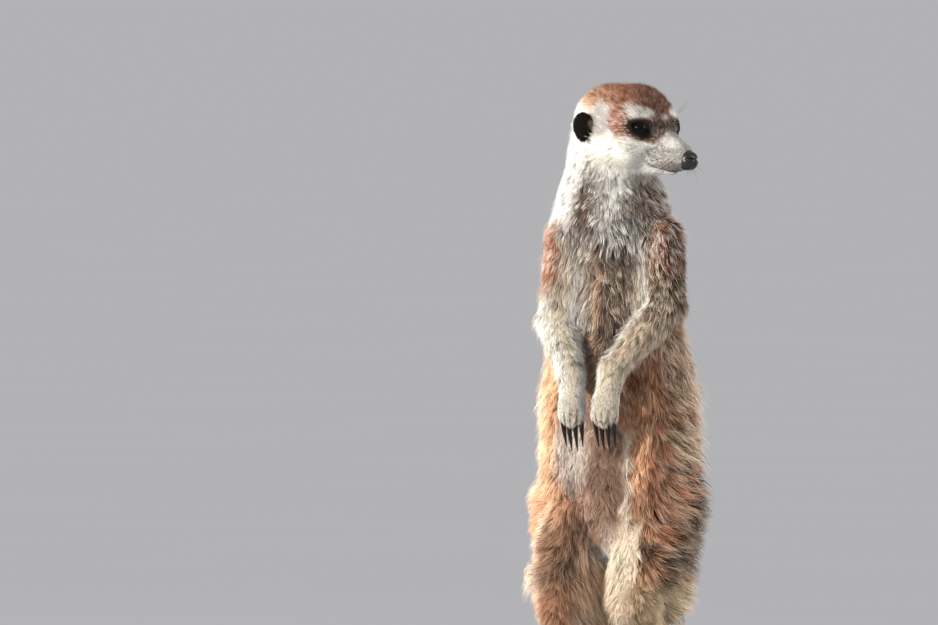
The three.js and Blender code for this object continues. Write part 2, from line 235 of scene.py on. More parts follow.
def bodyField(p, bare=1.0):
    # bare 1 is the skin, bare 0 the outline that the tips of the coat reach
    whole = joined(p, torso, 8, bare)
    for side in sides:
        whole = blended(whole, joined(p, upperArm(side), 8, bare), 7)
    for side in sides:
        whole = blended(whole, joined(p, thigh(side), 6, bare), 7)
    whole = blended(whole, joined(p, skull, 5, bare), 6)
    whole = blended(whole, joined(p, tail, 3, bare), 10)
    whole = whole + hollows(p)
    for side in sides:
        whole = blended(whole, joined(p, upperArm(side) + forearm(side) + hand(side), 3, bare), 1)
        whole = blended(whole, joined(p, thigh(side) + shank(side) + foot(side), 3, bare), 1)
    return whole


def hollows(p):
    # the belly lies back between the thighs, the breast between the arms, and a fold runs under the chin
    x, y, z = p.T
    front = smooth(-4, -16, y)
    middle = x - 1 + 5 * smooth(140, 90, z)
    halfWidth = 20 - 10 * smooth(140, 84, z)
    belly = smooth(halfWidth + 5, halfWidth - 4, np.abs(middle)) * between(z, 70, 86, 150, 172)
    breast = smooth(19, 11, np.abs(x)) * between(z, 168, 182, 222, 236)
    total = front * (4.6 * belly + 2.2 * breast)
    chinFold = 2.6 * bell(z - 267 + 0.2 * np.abs(x - 12), 2.4) * smooth(-12, -20, y)
    total += chinFold * smooth(36, 22, np.abs(x - 10))
    ruff = np.exp(-(((x - 17) / 9) ** 2 + ((z - 257) / 6.5) ** 2))
    ruff = ruff + 0.7 * np.exp(-(((x + 14) / 8) ** 2 + ((z - 254) / 8) ** 2))
    return total - 2.6 * ruff * smooth(-8, -18, y)


head = {
    "ballRadius": 4.6,        # of the eye
    "lidDepth": 0.55,         # how far the lids stand out from the eye
    "openWidth": 9.2, "openHeight": 5.9, "openTilt": 24,
    "lidCrease": 0.5,
    "mouthDepth": 0.9, "lipFront": -23.4, "lipRise": 0.016,
    "earWidth": 12.2, "earHeight": 17.6, "earNarrowing": 0.42,
    "bottom": 258,            # no part of the face lies lower
}


def eyeAxes(side):
    out = unit(np.array([0.56, side * 0.82, 0.06]))
    forward = unit(np.cross(up, out)) * side * -1
    tilt = math.radians(head["openTilt"])
    upward = np.cross(out, forward) * side * -1
    upward = upward * np.sign(upward[2])
    long = math.cos(tilt) * forward - math.sin(tilt) * upward
    short = math.sin(tilt) * forward + math.cos(tilt) * upward
    return out, long, short


def lidOpening(q, side):
    # q: head coordinates from the eye's centre; the result is negative inside the opening
    out, long, short = eyeAxes(side)
    x, y, depth = q @ long, q @ short, q @ out
    share = np.clip(np.abs(x) / (head["openWidth"] / 2), 0, 1.6)
    lift = 1 - 0.1 * np.sign(y)
    edge = np.abs(y) / lift - head["openHeight"] / 2 * (1 - share ** 2)
    return np.maximum(edge * 0.85, 1.5 - depth), x, y, depth


def lidRing(q, side):
    # 1 at the edge of the lids, less inside the opening; and how far out a point lies
    out, long, short = eyeAxes(side)
    local = q - eyeSpot(side)
    ring = np.hypot(local @ long / (head["openWidth"] / 2), local @ short / (head["openHeight"] / 2))
    return ring, local @ out


def lipCrease(f, h, width, start, full):
    # 1 on the mouth's line, which rises backwards and fades out between full and start
    line = head["lipFront"] + head["lipRise"] * np.minimum(f - 33, 0) ** 2
    return bell(h - line, width) * smooth(start, full, f) * (h < -16)


def earAxes(side):
    centre = np.array([-12.4, side * 22.8, -1])
    facing = unit(np.array([0.47, side * 0.88, 0]))
    return centre, facing, unit(np.cross(facing, up)) * side


def earField(q, side):
    # a low shield, narrow at its foot, with a rolled rim and two folds in its dish
    centre, facing, along = earAxes(side)
    local = q - centre
    wide, out, high = local @ along, local @ facing, local @ up
    taper = 1 + head["earNarrowing"] * np.clip(high / (head["earHeight"] / 2), -1, 0)
    w = wide / (head["earWidth"] / 2 * taper)
    h = high / (head["earHeight"] / 2)
    ring = np.sqrt(w * w + h * h)
    thin = np.where(out > 0, 1.25, 2.7)
    shell = (np.sqrt(ring ** 2 + (out / thin) ** 2) - 1) * np.where(ring > 0.8, 4.5, 2.0)
    dish = (np.sqrt((w / 0.78) ** 2 + (h / 0.82) ** 2 + ((out - 1.4) / 3.1) ** 2) - 1) * 2.6
    shell = carved(shell, -dish, 0.6)
    folds = ((-0.5, -0.1, 0.0, 0.35, 0.7), (-0.1, -0.5, 0.35, -0.15, 0.6))
    for w0, h0, w1, h1, thick in folds:
        a, run = np.array([w0, h0]), np.array([w1 - w0, h1 - h0])
        t = np.clip(((w - a[0]) * run[0] + (h - a[1]) * run[1]) / (run @ run), 0, 1)
        gap = np.hypot((w - a[0] - t * run[0]) * 5.5, (h - a[1] - t * run[1]) * 8)
        shell = blended(shell, np.sqrt(gap ** 2 + (out + 0.9) ** 2) - thick - 0.5, 0.9)
    # a small lobe at the front edge guards the way in
    lobe = np.sqrt((wide - 3.6) ** 2 + ((high + 0.6) / 2.0) ** 2 + (out - 0.4) ** 2) - 1.3
    return blended(shell, lobe, 0.8)


def skinField(p):
    # the bare form with its fingers parted, and with ears, eyelids and mouth on the head
    whole = bodyField(p)
    hands = (p[:, 2] < 160) & (p[:, 2] > 140) & (p[:, 1] < -36)
    for side in sides:
        whole[hands] += 0.9 * fingerGaps(p[hands], side) * (side * p[hands, 0] > 0)
    q = toHead(p)
    near = p[:, 2] > head["bottom"]
    if not near.any():
        return whole
    q, d = q[near], whole[near]
    for side in sides:
        d = blended(d, earField(q, side), 1.2)
        local = q - eyeSpot(side)
        fromEye = np.linalg.norm(local, axis=1)
        d = blended(d, fromEye - head["ballRadius"] - head["lidDepth"], 1.4)
        opening, x, y, depth = lidOpening(local, side)
        outside = smooth(0, 2, depth)
        crease = bell(np.hypot(x / 1.18, y) - 5.0, 0.45) * (0.55 + 0.45 * np.sign(y))
        bag = bell(np.hypot(x / 1.15, y) - 6.6, 0.6) * (y < 0) * 0.5
        d = d + head["lidCrease"] * (crease + bag) * outside
        d = carved(d, opening, 0.45)
    # the mouth's line, the groove under the nose and the whisker pads
    f, l, h = q.T
    d = d + head["mouthDepth"] * lipCrease(f, h, 0.75, 15.5, 19)
    groove = bell(l, 0.6) * smooth(34, 37, f) * (h < -17.5) * smooth(-25, -23, h)
    d = d + 0.7 * groove
    pads = np.exp(-(((f - 32.5) / 4) ** 2 + ((np.abs(l) - 5.2) / 3) ** 2 + ((h + 19.5) / 2.6) ** 2))
    d = d - 0.8 * pads
    whole[near] = d
    return whole


block = 4


def sampled(field, low, cell, count):
    # worked out in full only in blocks of cells close to the surface
    steps = np.stack(np.meshgrid(*[np.arange(n) for n in count // block], indexing="ij"), -1)
    rough = field((low + (steps * block + (block - 1) / 2) * cell).reshape(-1, 3)).reshape(count // block)
    spread = lambda a: a.repeat(block, 0).repeat(block, 1).repeat(block, 2)
    value = spread(rough)
    near = spread(np.abs(rough) < block * cell * 1.7)
    value[near] = field(low + np.argwhere(near) * cell)
    return value


def slope(field, p, step=0.05):
    rises = [field(p + step * axis) - field(p - step * axis) for axis in np.eye(3)]
    return np.stack(rises, -1) / (2 * step)


def surfaceOf(field, low, high, cell, settle=2):
    # one vertex in each grid cell that the surface crosses, then drawn onto the surface itself
    low = np.array(low, float)
    count = (np.ceil((np.array(high) - low) / cell / block).astype(int) + 1) * block
    value = sampled(field, low, cell, count)
    total = np.zeros((*(count + 1), 3), np.float32)
    hits = np.zeros(count + 1, np.float32)
    crossings = []
    for axis in range(3):
        first = np.moveaxis(value, axis, 0)
        a, b = first[:-1], first[1:]
        at = np.argwhere((a < 0) != (b < 0))
        where = tuple(at.T)
        share = a[where] / (a[where] - b[where])
        order = [0, 1, 2]
        order.remove(axis)
        place = np.empty((len(at), 3), int)
        place[:, axis], place[:, order[0]], place[:, order[1]] = at.T
        spot = place.astype(np.float32)
        spot[:, axis] += share
        for u in (0, 1):
            for v in (0, 1):
                cells = place + 1
                cells[:, order[0]] -= u
                cells[:, order[1]] -= v
                np.add.at(total, tuple(cells.T), spot)
                np.add.at(hits, tuple(cells.T), 1)
        crossings.append((axis, order, place + 1, a[where] < 0))
    used = np.argwhere(hits > 0)
    number = np.full(hits.shape, -1)
    number[tuple(used.T)] = np.arange(len(used))
    points = low + total[tuple(used.T)] / hits[tuple(used.T)][:, None] * cell
    quads = []
    for axis, order, cells, outward in crossings:
        ring = []
        for u, v in ((0, 0), (1, 0), (1, 1), (0, 1)):
            around = cells.copy()
            around[:, order[0]] -= u
            around[:, order[1]] -= v
            ring.append(number[tuple(around.T)])
        ring = np.stack(ring, -1)
        flip = outward if axis != 1 else ~outward
        ring[~flip] = ring[~flip][:, ::-1]
        quads.append(ring)
    for _ in range(settle):
        g = slope(field, points)
        step = field(points)[:, None] * g / np.maximum((g * g).sum(1, keepdims=True), 0.2)
        points = points - np.clip(step, -0.6 * cell, 0.6 * cell)
    return points, np.concatenate(quads)


def meshOf(name, points, faces, material, smoothed=True):
    mesh = bpy.data.meshes.new(name)
    faces = np.asarray(faces)
    sidesEach = faces.shape[1]
    mesh.vertices.add(len(points))
    mesh.vertices.foreach_set("co", placed(points).astype(np.float32).ravel())
    mesh.loops.add(faces.size)
    mesh.loops.foreach_set("vertex_index", faces.astype(np.int32).ravel())
    mesh.polygons.add(len(faces))
    mesh.polygons.foreach_set("loop_start", np.arange(len(faces), dtype=np.int32) * sidesEach)
    mesh.update(calc_edges=True)
    mesh.polygons.foreach_set("use_smooth", np.full(len(faces), smoothed))
    mesh.materials.append(material)
    return linked(name, mesh)


def setUv(mesh, name, corners):
    layer = mesh.uv_layers.new(name=name)
    layer.data.foreach_set("uv", corners.astype(np.float32).ravel())


def newGroup(name, inputs, outputs):
    group = bpy.data.node_groups.new(name, "ShaderNodeTree")
    for label, kind, value in inputs:
        socket = group.interface.new_socket(name=label, in_out="INPUT", socket_type=kind)
        if value is not None:
            socket.default_value = value
    for label, kind in outputs:
        group.interface.new_socket(name=label, in_out="OUTPUT", socket_type=kind)
    return group, group.nodes.new("NodeGroupInput"), group.nodes.new("NodeGroupOutput")


def nodeIn(tree, kind, values=None, **settings):
    node = tree.nodes.new(kind)
    for key, value in settings.items():
        setattr(node, key, value)
    for key, value in (values or {}).items():
        node.inputs[key].default_value = value
    return node


def wire(tree, *links):
    # links: a node, its output, the next node and its input
    for source, output, target, socket in links:
        tree.links.new(source.outputs[output], target.inputs[socket])


def makeHairTone():
    # fine ticking of a hide's colour: single hairs a little darker or paler than their neighbours
    group, given, result = newGroup(
        "hairTone",
        [("Colour", "NodeSocketColor", None), ("Ticks", "NodeSocketFloat", 0.3),
         ("Scale", "NodeSocketFloat", 900.0)],
        [("Colour", "NodeSocketColor"), ("Height", "NodeSocketFloat")])
    place = nodeIn(group, "ShaderNodeTexCoord")
    fine = nodeIn(group, "ShaderNodeTexNoise", {"Detail": 3.0, "Roughness": 0.65})
    spread = nodeIn(group, "ShaderNodeMapRange",
                    {"From Min": 0.3, "From Max": 0.7, "To Min": -1.0, "To Max": 1.0})
    amount = nodeIn(group, "ShaderNodeMath", operation="MULTIPLY")
    lift = nodeIn(group, "ShaderNodeMath", {0: 1.0}, operation="ADD")
    tinted = nodeIn(group, "ShaderNodeVectorMath", operation="SCALE")
    wire(group, (place, "Object", fine, "Vector"), (given, "Scale", fine, "Scale"),
         (fine, "Fac", spread, "Value"), (spread, 0, amount, 0), (given, "Ticks", amount, 1),
         (amount, 0, lift, 1), (given, "Colour", tinted, 0), (lift, 0, tinted, "Scale"),
         (tinted, 0, result, "Colour"), (fine, "Fac", result, "Height"))
    return group


hairTone = makeHairTone()


def linear(r, g, b):
    c = np.array([r, g, b]) / 255
    return np.where(c <= 0.04045, c / 12.92, ((c + 0.055) / 1.055) ** 2.4)


def newMaterial(name, **plain):
    material = bpy.data.materials.new(name)
    material.use_nodes = True
    shader = material.node_tree.nodes["Principled BSDF"]
    for key, value in plain.items():
        shader.inputs[key.replace("_", " ")].default_value = value
    return material, material.node_tree, shader


def hideMaterial(name, attribute, ticks, scale, bump, **plain):
    material, tree, shader = newMaterial(name, **plain)
    colour = nodeIn(tree, "ShaderNodeAttribute", attribute_name=attribute)
    tone = nodeIn(tree, "ShaderNodeGroup", node_tree=hairTone)
    tone.inputs["Ticks"].default_value = ticks
    tone.inputs["Scale"].default_value = scale
    wire(tree, (colour, "Color", tone, "Colour"), (tone, "Colour", shader, "Base Color"))
    if bump:
        relief = nodeIn(tree, "ShaderNodeBump", {"Strength": bump, "Distance": 0.0006})
        wire(tree, (tone, "Height", relief, "Height"), (relief, 0, shader, "Normal"))
    return material


# the colours of the markings, the same for skin and coat
palette = {name: linear(*rgb) for name, rgb in {
    "white": (248, 245, 238), "cream": (242, 227, 204), "silver": (198, 194, 190), "grey": (142, 138, 136),
    "ash": (112, 104, 98), "rust": (180, 116, 84), "russet": (130, 80, 58), "tan": (192, 158, 128),
    "peach": (240, 190, 150), "taupe": (140, 118, 104), "umber": (98, 74, 60), "bark": (66, 47, 37),
    "soot": (20, 16, 14), "rose": (186, 150, 130), "straw": (222, 196, 156)}.items()}


class Paint:
    # layers of colour over a patch of hide, each through a mask
    def __init__(self, count, base):
        self.colour = np.tile(palette[base], (count, 1))

    def add(self, name, mask, strength=1.0):
        k = (np.clip(mask, 0, 1) * strength)[:, None]
        self.colour = self.colour * (1 - k) + palette[name] * k

    def layers(self, mask, **strengths):
        for name, strength in strengths.items():
            self.add(name, mask, strength)

    def spots(self, p, rows):
        # rows: colour, centre, radii, softness of the edge and strength
        for name, centre, radii, softness, strength in rows:
            self.add(name, blob(p, centre, radii, softness), strength)


def ripple(p, size, seed, waves=7):
    # a smooth wandering value of about -1 to 1, with features as large as size
    draw = np.random.default_rng(seed)
    total = np.zeros(len(p))
    for _ in range(waves):
        direction = unit(draw.normal(size=3)) * 2 * math.pi / size * draw.uniform(0.6, 1.6)
        total += np.sin(p @ direction + draw.uniform(0, 6.3))
    return total / math.sqrt(waves) * 1.1


def blob(q, centre, radii, softness=0.35):
    away = np.linalg.norm((q - np.array(centre)) / np.array(radii), axis=1)
    return 1 - smooth(1 - softness, 1 + softness, away)


def headColours(p):
    q = toHead(p)
    f, l, h = q.T
    s = np.abs(l)
    m = np.stack([f, s, h], -1) + 0.7 * ripple(p, 6, 3)[:, None]
    paint = Paint(len(p), "white")
    muzzle = blob(m, (29, 6, -14), (13, 9, 8))
    paint.layers(muzzle, silver=0.95, grey=0.45)
    paint.spots(m, (
        ("grey", (15, 17, -9), (8, 7, 5), 0.35, 0.45),
        ("grey", (27, 8, -12), (8, 5, 4), 0.35, 0.6),
        ("ash", (29, 5, -20.8), (10, 7, 2.6), 0.35, 0.7),
        ("cream", (-2, 19, -22), (14, 8, 8), 0.35, 0.4)))
    # crown, with a tongue that runs down between ear and eye
    edge = 9.6 - 1.5 * smooth(12, 20, f) - 6 * smooth(20, 27, f)
    edge = edge + 2.5 * smooth(-8, -20, f) - 4 * smooth(9, 3, s)
    soft = 1.4 + 2.6 * smooth(6, -8, f)
    crown = smooth(-soft, soft, m[:, 2] - edge)
    tongue = np.maximum(blob(m, (7.5, 20, 3), (6.4, 9, 9.5)), blob(m, (10.5, 19, -2.5), (5.5, 6, 3.5)))
    paint.add("tan", blob(m, (-9, 16, 12), (15, 9, 7), 0.4), 0.5)
    paint.layers(tongue, rust=0.9, russet=0.4)
    paint.add("rust", crown)
    paint.add("russet", crown * smooth(12, 18, m[:, 2]), 0.6)
    paint.add("russet", crown * smooth(-2, 12, f), 0.6)
    paint.add("umber", crown * smooth(11, 23, f) * smooth(17, 8, s), 0.5)
    paint.add("umber", crown, 0.36)
    paint.add("russet", tongue, 0.15)
    paint.add("tan", blob(m, (-13, 15, 13), (11, 9, 6), 0.5), 0.4)
    # the band between the eyes runs down the bridge and fades half way to the nose
    band = blob(m, (25, 6.5, 2.5), (5, 6, 7))
    paint.add("russet", band, 0.75)
    paint.add("bark", blob(m, (29, 0, -2), (8, 3.4, 6)), 0.55)
    # pale brow over a dark eye patch that runs forward and down
    brow = blob(m, (15.8, 16.4, 6.6), (5.6, 5, 2.6), 0.45)
    paint.layers(brow, silver=0.85, grey=0.45)
    paint.add("white", blob(m, (14.4, 17.6, 6.4), (3.8, 4, 1.8), 0.45), 0.35)
    slant = (f - 19.5) * 0.72 - (s - 12.8) * 0.45 - (h + 2.4) * 0.53
    thick = (f - 19.5) * 0.36 + (h + 2.4) * 0.85
    middle = smooth(-4, 0, s) * smooth(4, 7, f)
    patch = np.hypot(slant / 10.8, (thick + 0.4) / 5.9)
    inner = np.hypot((slant + 1.6) / 8.4, (thick + 0.2) / 4.7)
    darkest = np.hypot((slant + 4.2) / 4.6, (thick - 0.3) / 3.8)
    paint.add("umber", (1 - smooth(0.78, 1.12, patch)) * middle)
    paint.add("bark", (1 - smooth(0.7, 1.15, inner)) * middle, 0.9)
    paint.add("grey", blob(m, (24, 9.5, -3), (3, 3.5, 2.8), 0.5), 0.55)
    paint.add("soot", (1 - smooth(0.7, 1.1, darkest)) * middle, 0.95)
    paint.add("soot", blob(m, (11.8, 18.4, 2.4), (2.4, 3, 1.6), 0.5), 0.7)
    for side in sides:
        ring, depth = lidRing(q, side)
        paint.add("soot", smooth(1.42, 1.08, ring) * (depth > 0))
    # white in front of the ear, behind the tongue and beside the bridge; in front of the ear it is silvered,
    # and greyed with painted shade under the ear
    paint.spots(m, (
        ("cream", (-4, 20, 2), (5, 8, 8), 0.4, 0.8),
        ("silver", (-3, 20, 2), (6, 8, 8), 0.5, 0.95),
        ("grey", (-3, 20, 2), (6, 8, 8), 0.5, 0.4),
        ("white", (32, 5, -8.5), (6, 3.2, 3.6), 0.5, 0.75)))
    paint.add("bark", lipCrease(f, h, 0.75, 16, 19), 0.9)
    paint.add("soot", smooth(37.0, 37.9, f), 0.95)
    tick = 0.1 + 0.8 * np.maximum(crown, 0.7 * tongue) + 0.6 * muzzle + 0.6 * band
    tick += 0.35 * blob(m, (15, 17, -9), (8, 7, 5))
    brightness = paint.colour.mean(1)
    return paint.colour, np.clip(tick, 0.05, 1) * smooth(0.012, 0.07, brightness)


def aroundSpine(p):
    return np.degrees(np.arctan2(p[:, 0], -(p[:, 1] - 3)))


def flankColours(p, paint):
    # the coat's bands from the belly's edge round to the back, the same on trunk and thigh
    x, z = p[:, 0], p[:, 2]
    turned = aroundSpine(p)
    wander = 3.2 * ripple(p, 15, 5)
    angle = np.abs(turned) + wander - 11 * smooth(0, -10, turned)
    low = smooth(204, 176, z + 3 * ripple(p, 12, 6))
    side = between(angle, 24, 30, 108, 128)
    paint.add("rust", side * low)
    # painted shade: a dark umber line in the crease along the belly's edge
    paint.add("umber", bell(angle - 29, 4.5) * low * smooth(150, 120, z), 0.85)
    paint.add("peach", bell(angle - 40, 8.5) * low * smooth(60, 80, z), 0.65)
    paint.add("tan", between(angle, 46, 58, 100, 120) * low * (turned > 0), 0.35)
    paint.add("russet", between(angle, 56, 70, 100, 118) * low, 0.15)
    # dark bands that break through on the outer flank, and painted light on the right flank: paler peach
    # where it faces the light, and a cream band along its side
    band = np.sin((z + 2.2 * ripple(p, 13, 9)) * 2 * math.pi / 9.5 + 0.05 * angle)
    outer = between(angle, 54, 70, 104, 124) * low
    paint.add("peach", outer * smooth(124, 142, z) * smooth(0, 20, x), 0.6)
    paint.add("bark", outer * smooth(0.3, 0.8, band), 0.8)
    paint.add("peach", smooth(-38, -60, turned) * between(z, 70, 130, 176, 196), 0.75)
    paint.add("cream", between(turned, -120, -100, -78, -60) * between(z, 100, 130, 176, 196), 0.45)
    # back: grizzled, with broken dark bands
    back = smooth(98, 126, np.abs(turned) + wander)
    paint.add("tan", back, 0.9)
    paint.add("grey", back * (0.5 + 0.5 * ripple(p, 30, 8)), 0.35)
    stripe = np.sin((z + 2.5 * ripple(p, 18, 9)) * 2 * math.pi / 13)
    stripes = back * smooth(0.0, 0.5, stripe) * between(z, 84, 100, 205, 226)
    stripes = stripes * np.clip(0.8 + 0.5 * ripple(p, 9, 10), 0, 1)
    paint.add("bark", stripes, 0.95)
    return side * low, outer, back * (1 - 0.8 * stripes)


def trunkColours(p):
    x, y, z = p.T
    turned = aroundSpine(p) + 4 * ripple(p, 20, 5)
    high = z + 3 * ripple(p, 18, 6)
    paint = Paint(len(p), "taupe")
    chest = smooth(178, 196, high)
    paint.add("ash", chest * between(turned, -12, 2, 40, 64), 0.75)
    paint.add("umber", blob(p, (4, -28, 212), (13, 20, 28), 0.5), 0.55)
    paint.add("rose", smooth(182, 160, high), 0.75)
    paint.add("umber", between(high, 98, 116, 140, 158) * smooth(22, 8, np.abs(turned - 2)), 0.5)
    paint.spots(p, (
        ("silver", (-17, -26, 204), (9, 20, 32), 0.7, 0.85),
        ("cream", (17, -28, 206), (4, 20, 24), 0.6, 0.7)))
    seam = bell(x + 3.5 - 1.5 * smooth(230, 150, z), 1.5) * between(z, 158, 168, 226, 242)
    paint.add("tan", seam * (y < 0), 0.85)
    # throat: ashen lobes left and right, parted by a white streak, white arcs above them
    throat = smooth(236, 248, high) * smooth(70, 50, np.abs(turned))
    paint.add("silver", throat, 0.6)
    paint.add("grey", throat * smooth(256, 240, z), 0.6)
    paint.spots(p, (
        ("umber", (16, -24, 257), (8, 18, 6), 0.5, 0.45),
        ("umber", (-12, -18, 256), (8, 18, 11), 0.5, 0.9),
        ("ash", (27, -16, 252), (7, 18, 9), 0.5, 0.5)))
    paint.add("white", throat * smooth(261, 265, z) * between(x, -10, -3, 24, 34))
    paint.add("ash", between(z, 226, 236, 242, 250) * smooth(50, 30, np.abs(turned)), 0.4)
    # painted shadow: an ash band just under the jaw on the right of the throat
    paint.add("ash", bell(z - 269 - 0.1 * x, 2.2) * between(x, -26, -18, -4, 2) * (y < 0), 0.85)
    paint.add("silver", bell(x - 1 + 0.25 * (z - 250), 3) * smooth(234, 250, z) * (y < 0), 0.8)
    arc = bell(np.hypot((x - 16) / 1.35, z - 259) - 9.5, 2)
    paint.add("white", arc * smooth(252, 260, z) * (y < 0))
    # shoulders grizzled behind the arms
    flank = between(np.abs(turned), 50, 66, 110, 135)
    paint.add("rust", flank * between(high, 186, 204, 236, 250), 0.6)
    side, outer, back = flankColours(p, paint)
    # deep shade under the left forearm and beside the hand
    paint.spots(p, (
        ("bark", (20, -33, 173), (9, 16, 15), 0.5, 0.8),
        ("bark", (17, -35, 155), (5, 14, 16), 0.5, 0.75)))
    paint.layers(blob(p, (-17, -30, 136), (9, 20, 20), 0.5), silver=0.8, peach=0.25, white=0.3)
    # a cream edge between belly and flank, and white curls between the thighs
    hem = bell(aroundSpine(p) - 27, 4.2) * between(z, 40, 60, 138, 152)
    paint.add("cream", hem, 0.85)
    paint.add("white", blob(p, (2, -30, 91), (8, 14, 8), 0.6), 0.85)
    paint.add("white", smooth(92, 82, z) * smooth(20, 12, np.abs(x - 2)) * smooth(16, 6, y), 0.9)
    # neck: the right side white and the left side taupe, partly the coat's own colours and partly painted
    # light and painted shade; a grizzled nape
    neck = smooth(246, 260, high)
    fairNeck = smooth(232, 256, high) * between(turned, -118, -95, -52, -26)
    paint.add("silver", smooth(232, 256, high) * between(turned, -150, -105, -52, -26), 0.9)
    paint.add("white", fairNeck, 0.95)
    paint.add("taupe", neck * between(turned, 30, 50, 120, 150), 0.8)
    paint.add("tan", neck * smooth(120, 150, np.abs(turned)), 0.6)
    tick = 0.2 + 0.45 * back + 0.25 * side + 1.1 * outer * (x > 0)
    tick = tick + 0.15 * smooth(228, 244, high) + 0.2 * chest
    tick = tick + 0.35 * flank - 0.2 * blob(p, (-16, -26, 206), (8, 20, 34), 0.45) - 0.4 * fairNeck
    return paint.colour, np.clip(tick, 0.1, 1.3)


def alongAxis(p, masses):
    # the way out from the axis of the nearest mass, and the way along it
    gaps = np.stack([distanceTo(m, p) for m in masses])
    own = gaps.argmin(0)
    starts = np.stack([m["start"] for m in masses])[own]
    runs = np.stack([m["end"] - m["start"] for m in masses])[own]
    share = np.clip(((p - starts) * runs).sum(1) / (runs * runs).sum(1), 0, 1)
    return unit(p - starts - share[:, None] * runs), unit(runs)


def fingerGaps(p, side):
    # 1 between neighbouring fingers
    centre = armJoints(side)["knuckles"][0]
    gap = np.full(len(p), 99.0)
    for place in (-1, 0, 1):
        gap = np.minimum(gap, np.abs(p[:, 0] - centre - place * pose["fingerSpread"] * 1.05))
    return bell(gap, 0.5) * smooth(157.5, 153, p[:, 2]) * smooth(-38, -42, p[:, 1])


def armColours(p, side):
    x, z = p[:, 0], p[:, 2]
    away, run = alongAxis(p, upperArm(side) + forearm(side) + hand(side)[:1])
    inward = np.array([-side, 0.15, 0.45])
    inward = unit(inward - (run @ inward)[:, None] * run)
    facing = (away * inward).sum(1)
    high = z + 3 * ripple(p, 12, 11)
    paint = Paint(len(p), "cream")
    upper = smooth(196, 214, high)
    paint.add("tan" if side > 0 else "cream", smooth(160, 200, high), 0.55)
    paint.add("umber", upper, 0.6 if side > 0 else 0.35)
    patch = ((33, -8, 236), (12, 16, 13)) if side > 0 else ((-31, -8, 231), (9, 18, 19))
    rusty = blob(p, *patch, 0.4)
    paint.layers(rusty, rust=1.0, russet=0.3)
    paint.add("bark", blob(p, (side * 30, -18, 214), (10, 12, 14), 0.4), 0.55 if side > 0 else 0.2)
    if side > 0:
        paint.add("bark", smooth(26, 34, x) * smooth(208, 218, high), 0.6)
    paint.add("ash", smooth(226, 240, high) * smooth(28, 20, side * x), 0.7)
    hem = smooth(0.45, 0.8, facing) * smooth(250, 236, z)
    paint.add("white", hem, 0.9)
    # painted light: the outer side of the right arm below the elbow is whitened where it faces the light
    if side < 0:
        paint.add("white", smooth(-0.2, 0.5, -away[:, 0]) * smooth(222, 204, z), 0.7)
    paint.add("white", smooth(176, 162, z), 0.1)
    paint.add("grey", smooth(170, 158, z), 0.2)
    # painted shade in the gaps between the fingers
    paint.add("soot", fingerGaps(p, side), 0.9)
    tick = (0.4 + 0.6 * smooth(184, 208, high)) * (1 if side > 0 else 0.55) * (1 - 0.8 * hem)
    return paint.colour, np.clip(tick, 0.1, 1)


def thighColours(p, side):
    x, y, z = p.T
    paint = Paint(len(p), "rose")
    banded, _, back = flankColours(p, paint)
    away = alongAxis(p, thigh(side))[0]
    wander = ripple(p, 9, 14)
    sideways = side * away[:, 0] + 0.07 * wander
    front = smooth(0.0, 0.5, -away[:, 1])
    tick = 0.25 + 0.2 * banded
    if side > 0:
        # seen from the front: a smooth pale strip, a dark ticked band, a rusty one, then a grizzled edge
        strip = smooth(0.22, 0.1, sideways) * smooth(112, 98, z)
        dark = between(sideways, 0.1, 0.2, 0.45, 0.6) * front
        rusty = between(sideways, 0.4, 0.55, 0.8, 0.92) * front
        paint.layers(strip, peach=0.6, cream=0.85)
        paint.add("umber", dark * smooth(0.5, -0.4, wander), 0.8)
        paint.add("rust", rusty, 0.85)
        paint.add("peach", rusty * smooth(-0.1, 0.5, wander), 0.55)
        edge = np.clip(smooth(0.8, 0.95, sideways) + smooth(0.2, -0.2, -away[:, 1]), 0, 1)
        edge = edge * (1 - back)
        paint.add("bark", edge, 0.95)
        paint.add("straw", smooth(78, 60, z + 4 * wander) * smooth(0.15, 0.6, sideways), 0.9)
        tick = (tick + 0.6 * dark + 0.5 * rusty + 0.5 * edge + 0.4 * back) * (1 - 0.85 * strip)
    else:
        # a brown knee behind a thin cream line, and outside it a rusty flank made paler by painted light
        line = -26.5 - 8.5 * smooth(116, 84, z) + 0.5 * wander
        knee = smooth(-1, 2, x - line) * smooth(112, 98, z + 3 * wander) * front
        paint.add("umber", knee, 0.7)
        paint.add("rust", knee * smooth(70, 52, z + 4 * wander), 0.4)
        paint.add("peach", smooth(74, 58, z + 4 * wander), 0.4)
        paint.add("tan", smooth(-0.35, -0.75, sideways) * smooth(100, 90, z), 0.7)
        # partly pale hair tips and partly painted light: a cream outer edge low down, where the fringe
        # catches the light
        paint.add("cream", smooth(0.75, 0.95, sideways) * smooth(90, 76, z), 0.6)
        paint.add("cream", bell(x - line, 1.2) * between(z, 78, 86, 114, 122) * (y < 6), 0.95)
        tick = tick + 0.2 * knee + 0.4 * back
    return paint.colour, np.clip(tick, 0.08, 1.3)


def footColours(p, side):
    x, y, z = p.T
    paint = Paint(len(p), "tan")
    wander = ripple(p, 16, 11)
    paint.add("rust", smooth(30, 52, z + 4 * wander), 0.85)
    paint.add("umber", smooth(-6, -20, y) * smooth(30, 44, z), 0.4)
    paint.add("cream", smooth(18, 11, side * x) * smooth(26, 44, z), 0.6)
    if side > 0:
        paint.add("straw", smooth(36, 52, z) * smooth(14, 22, x), 0.85)
    paint.add("straw", smooth(22, 10, z), 0.5)
    return paint.colour, np.full(len(p), 0.45)


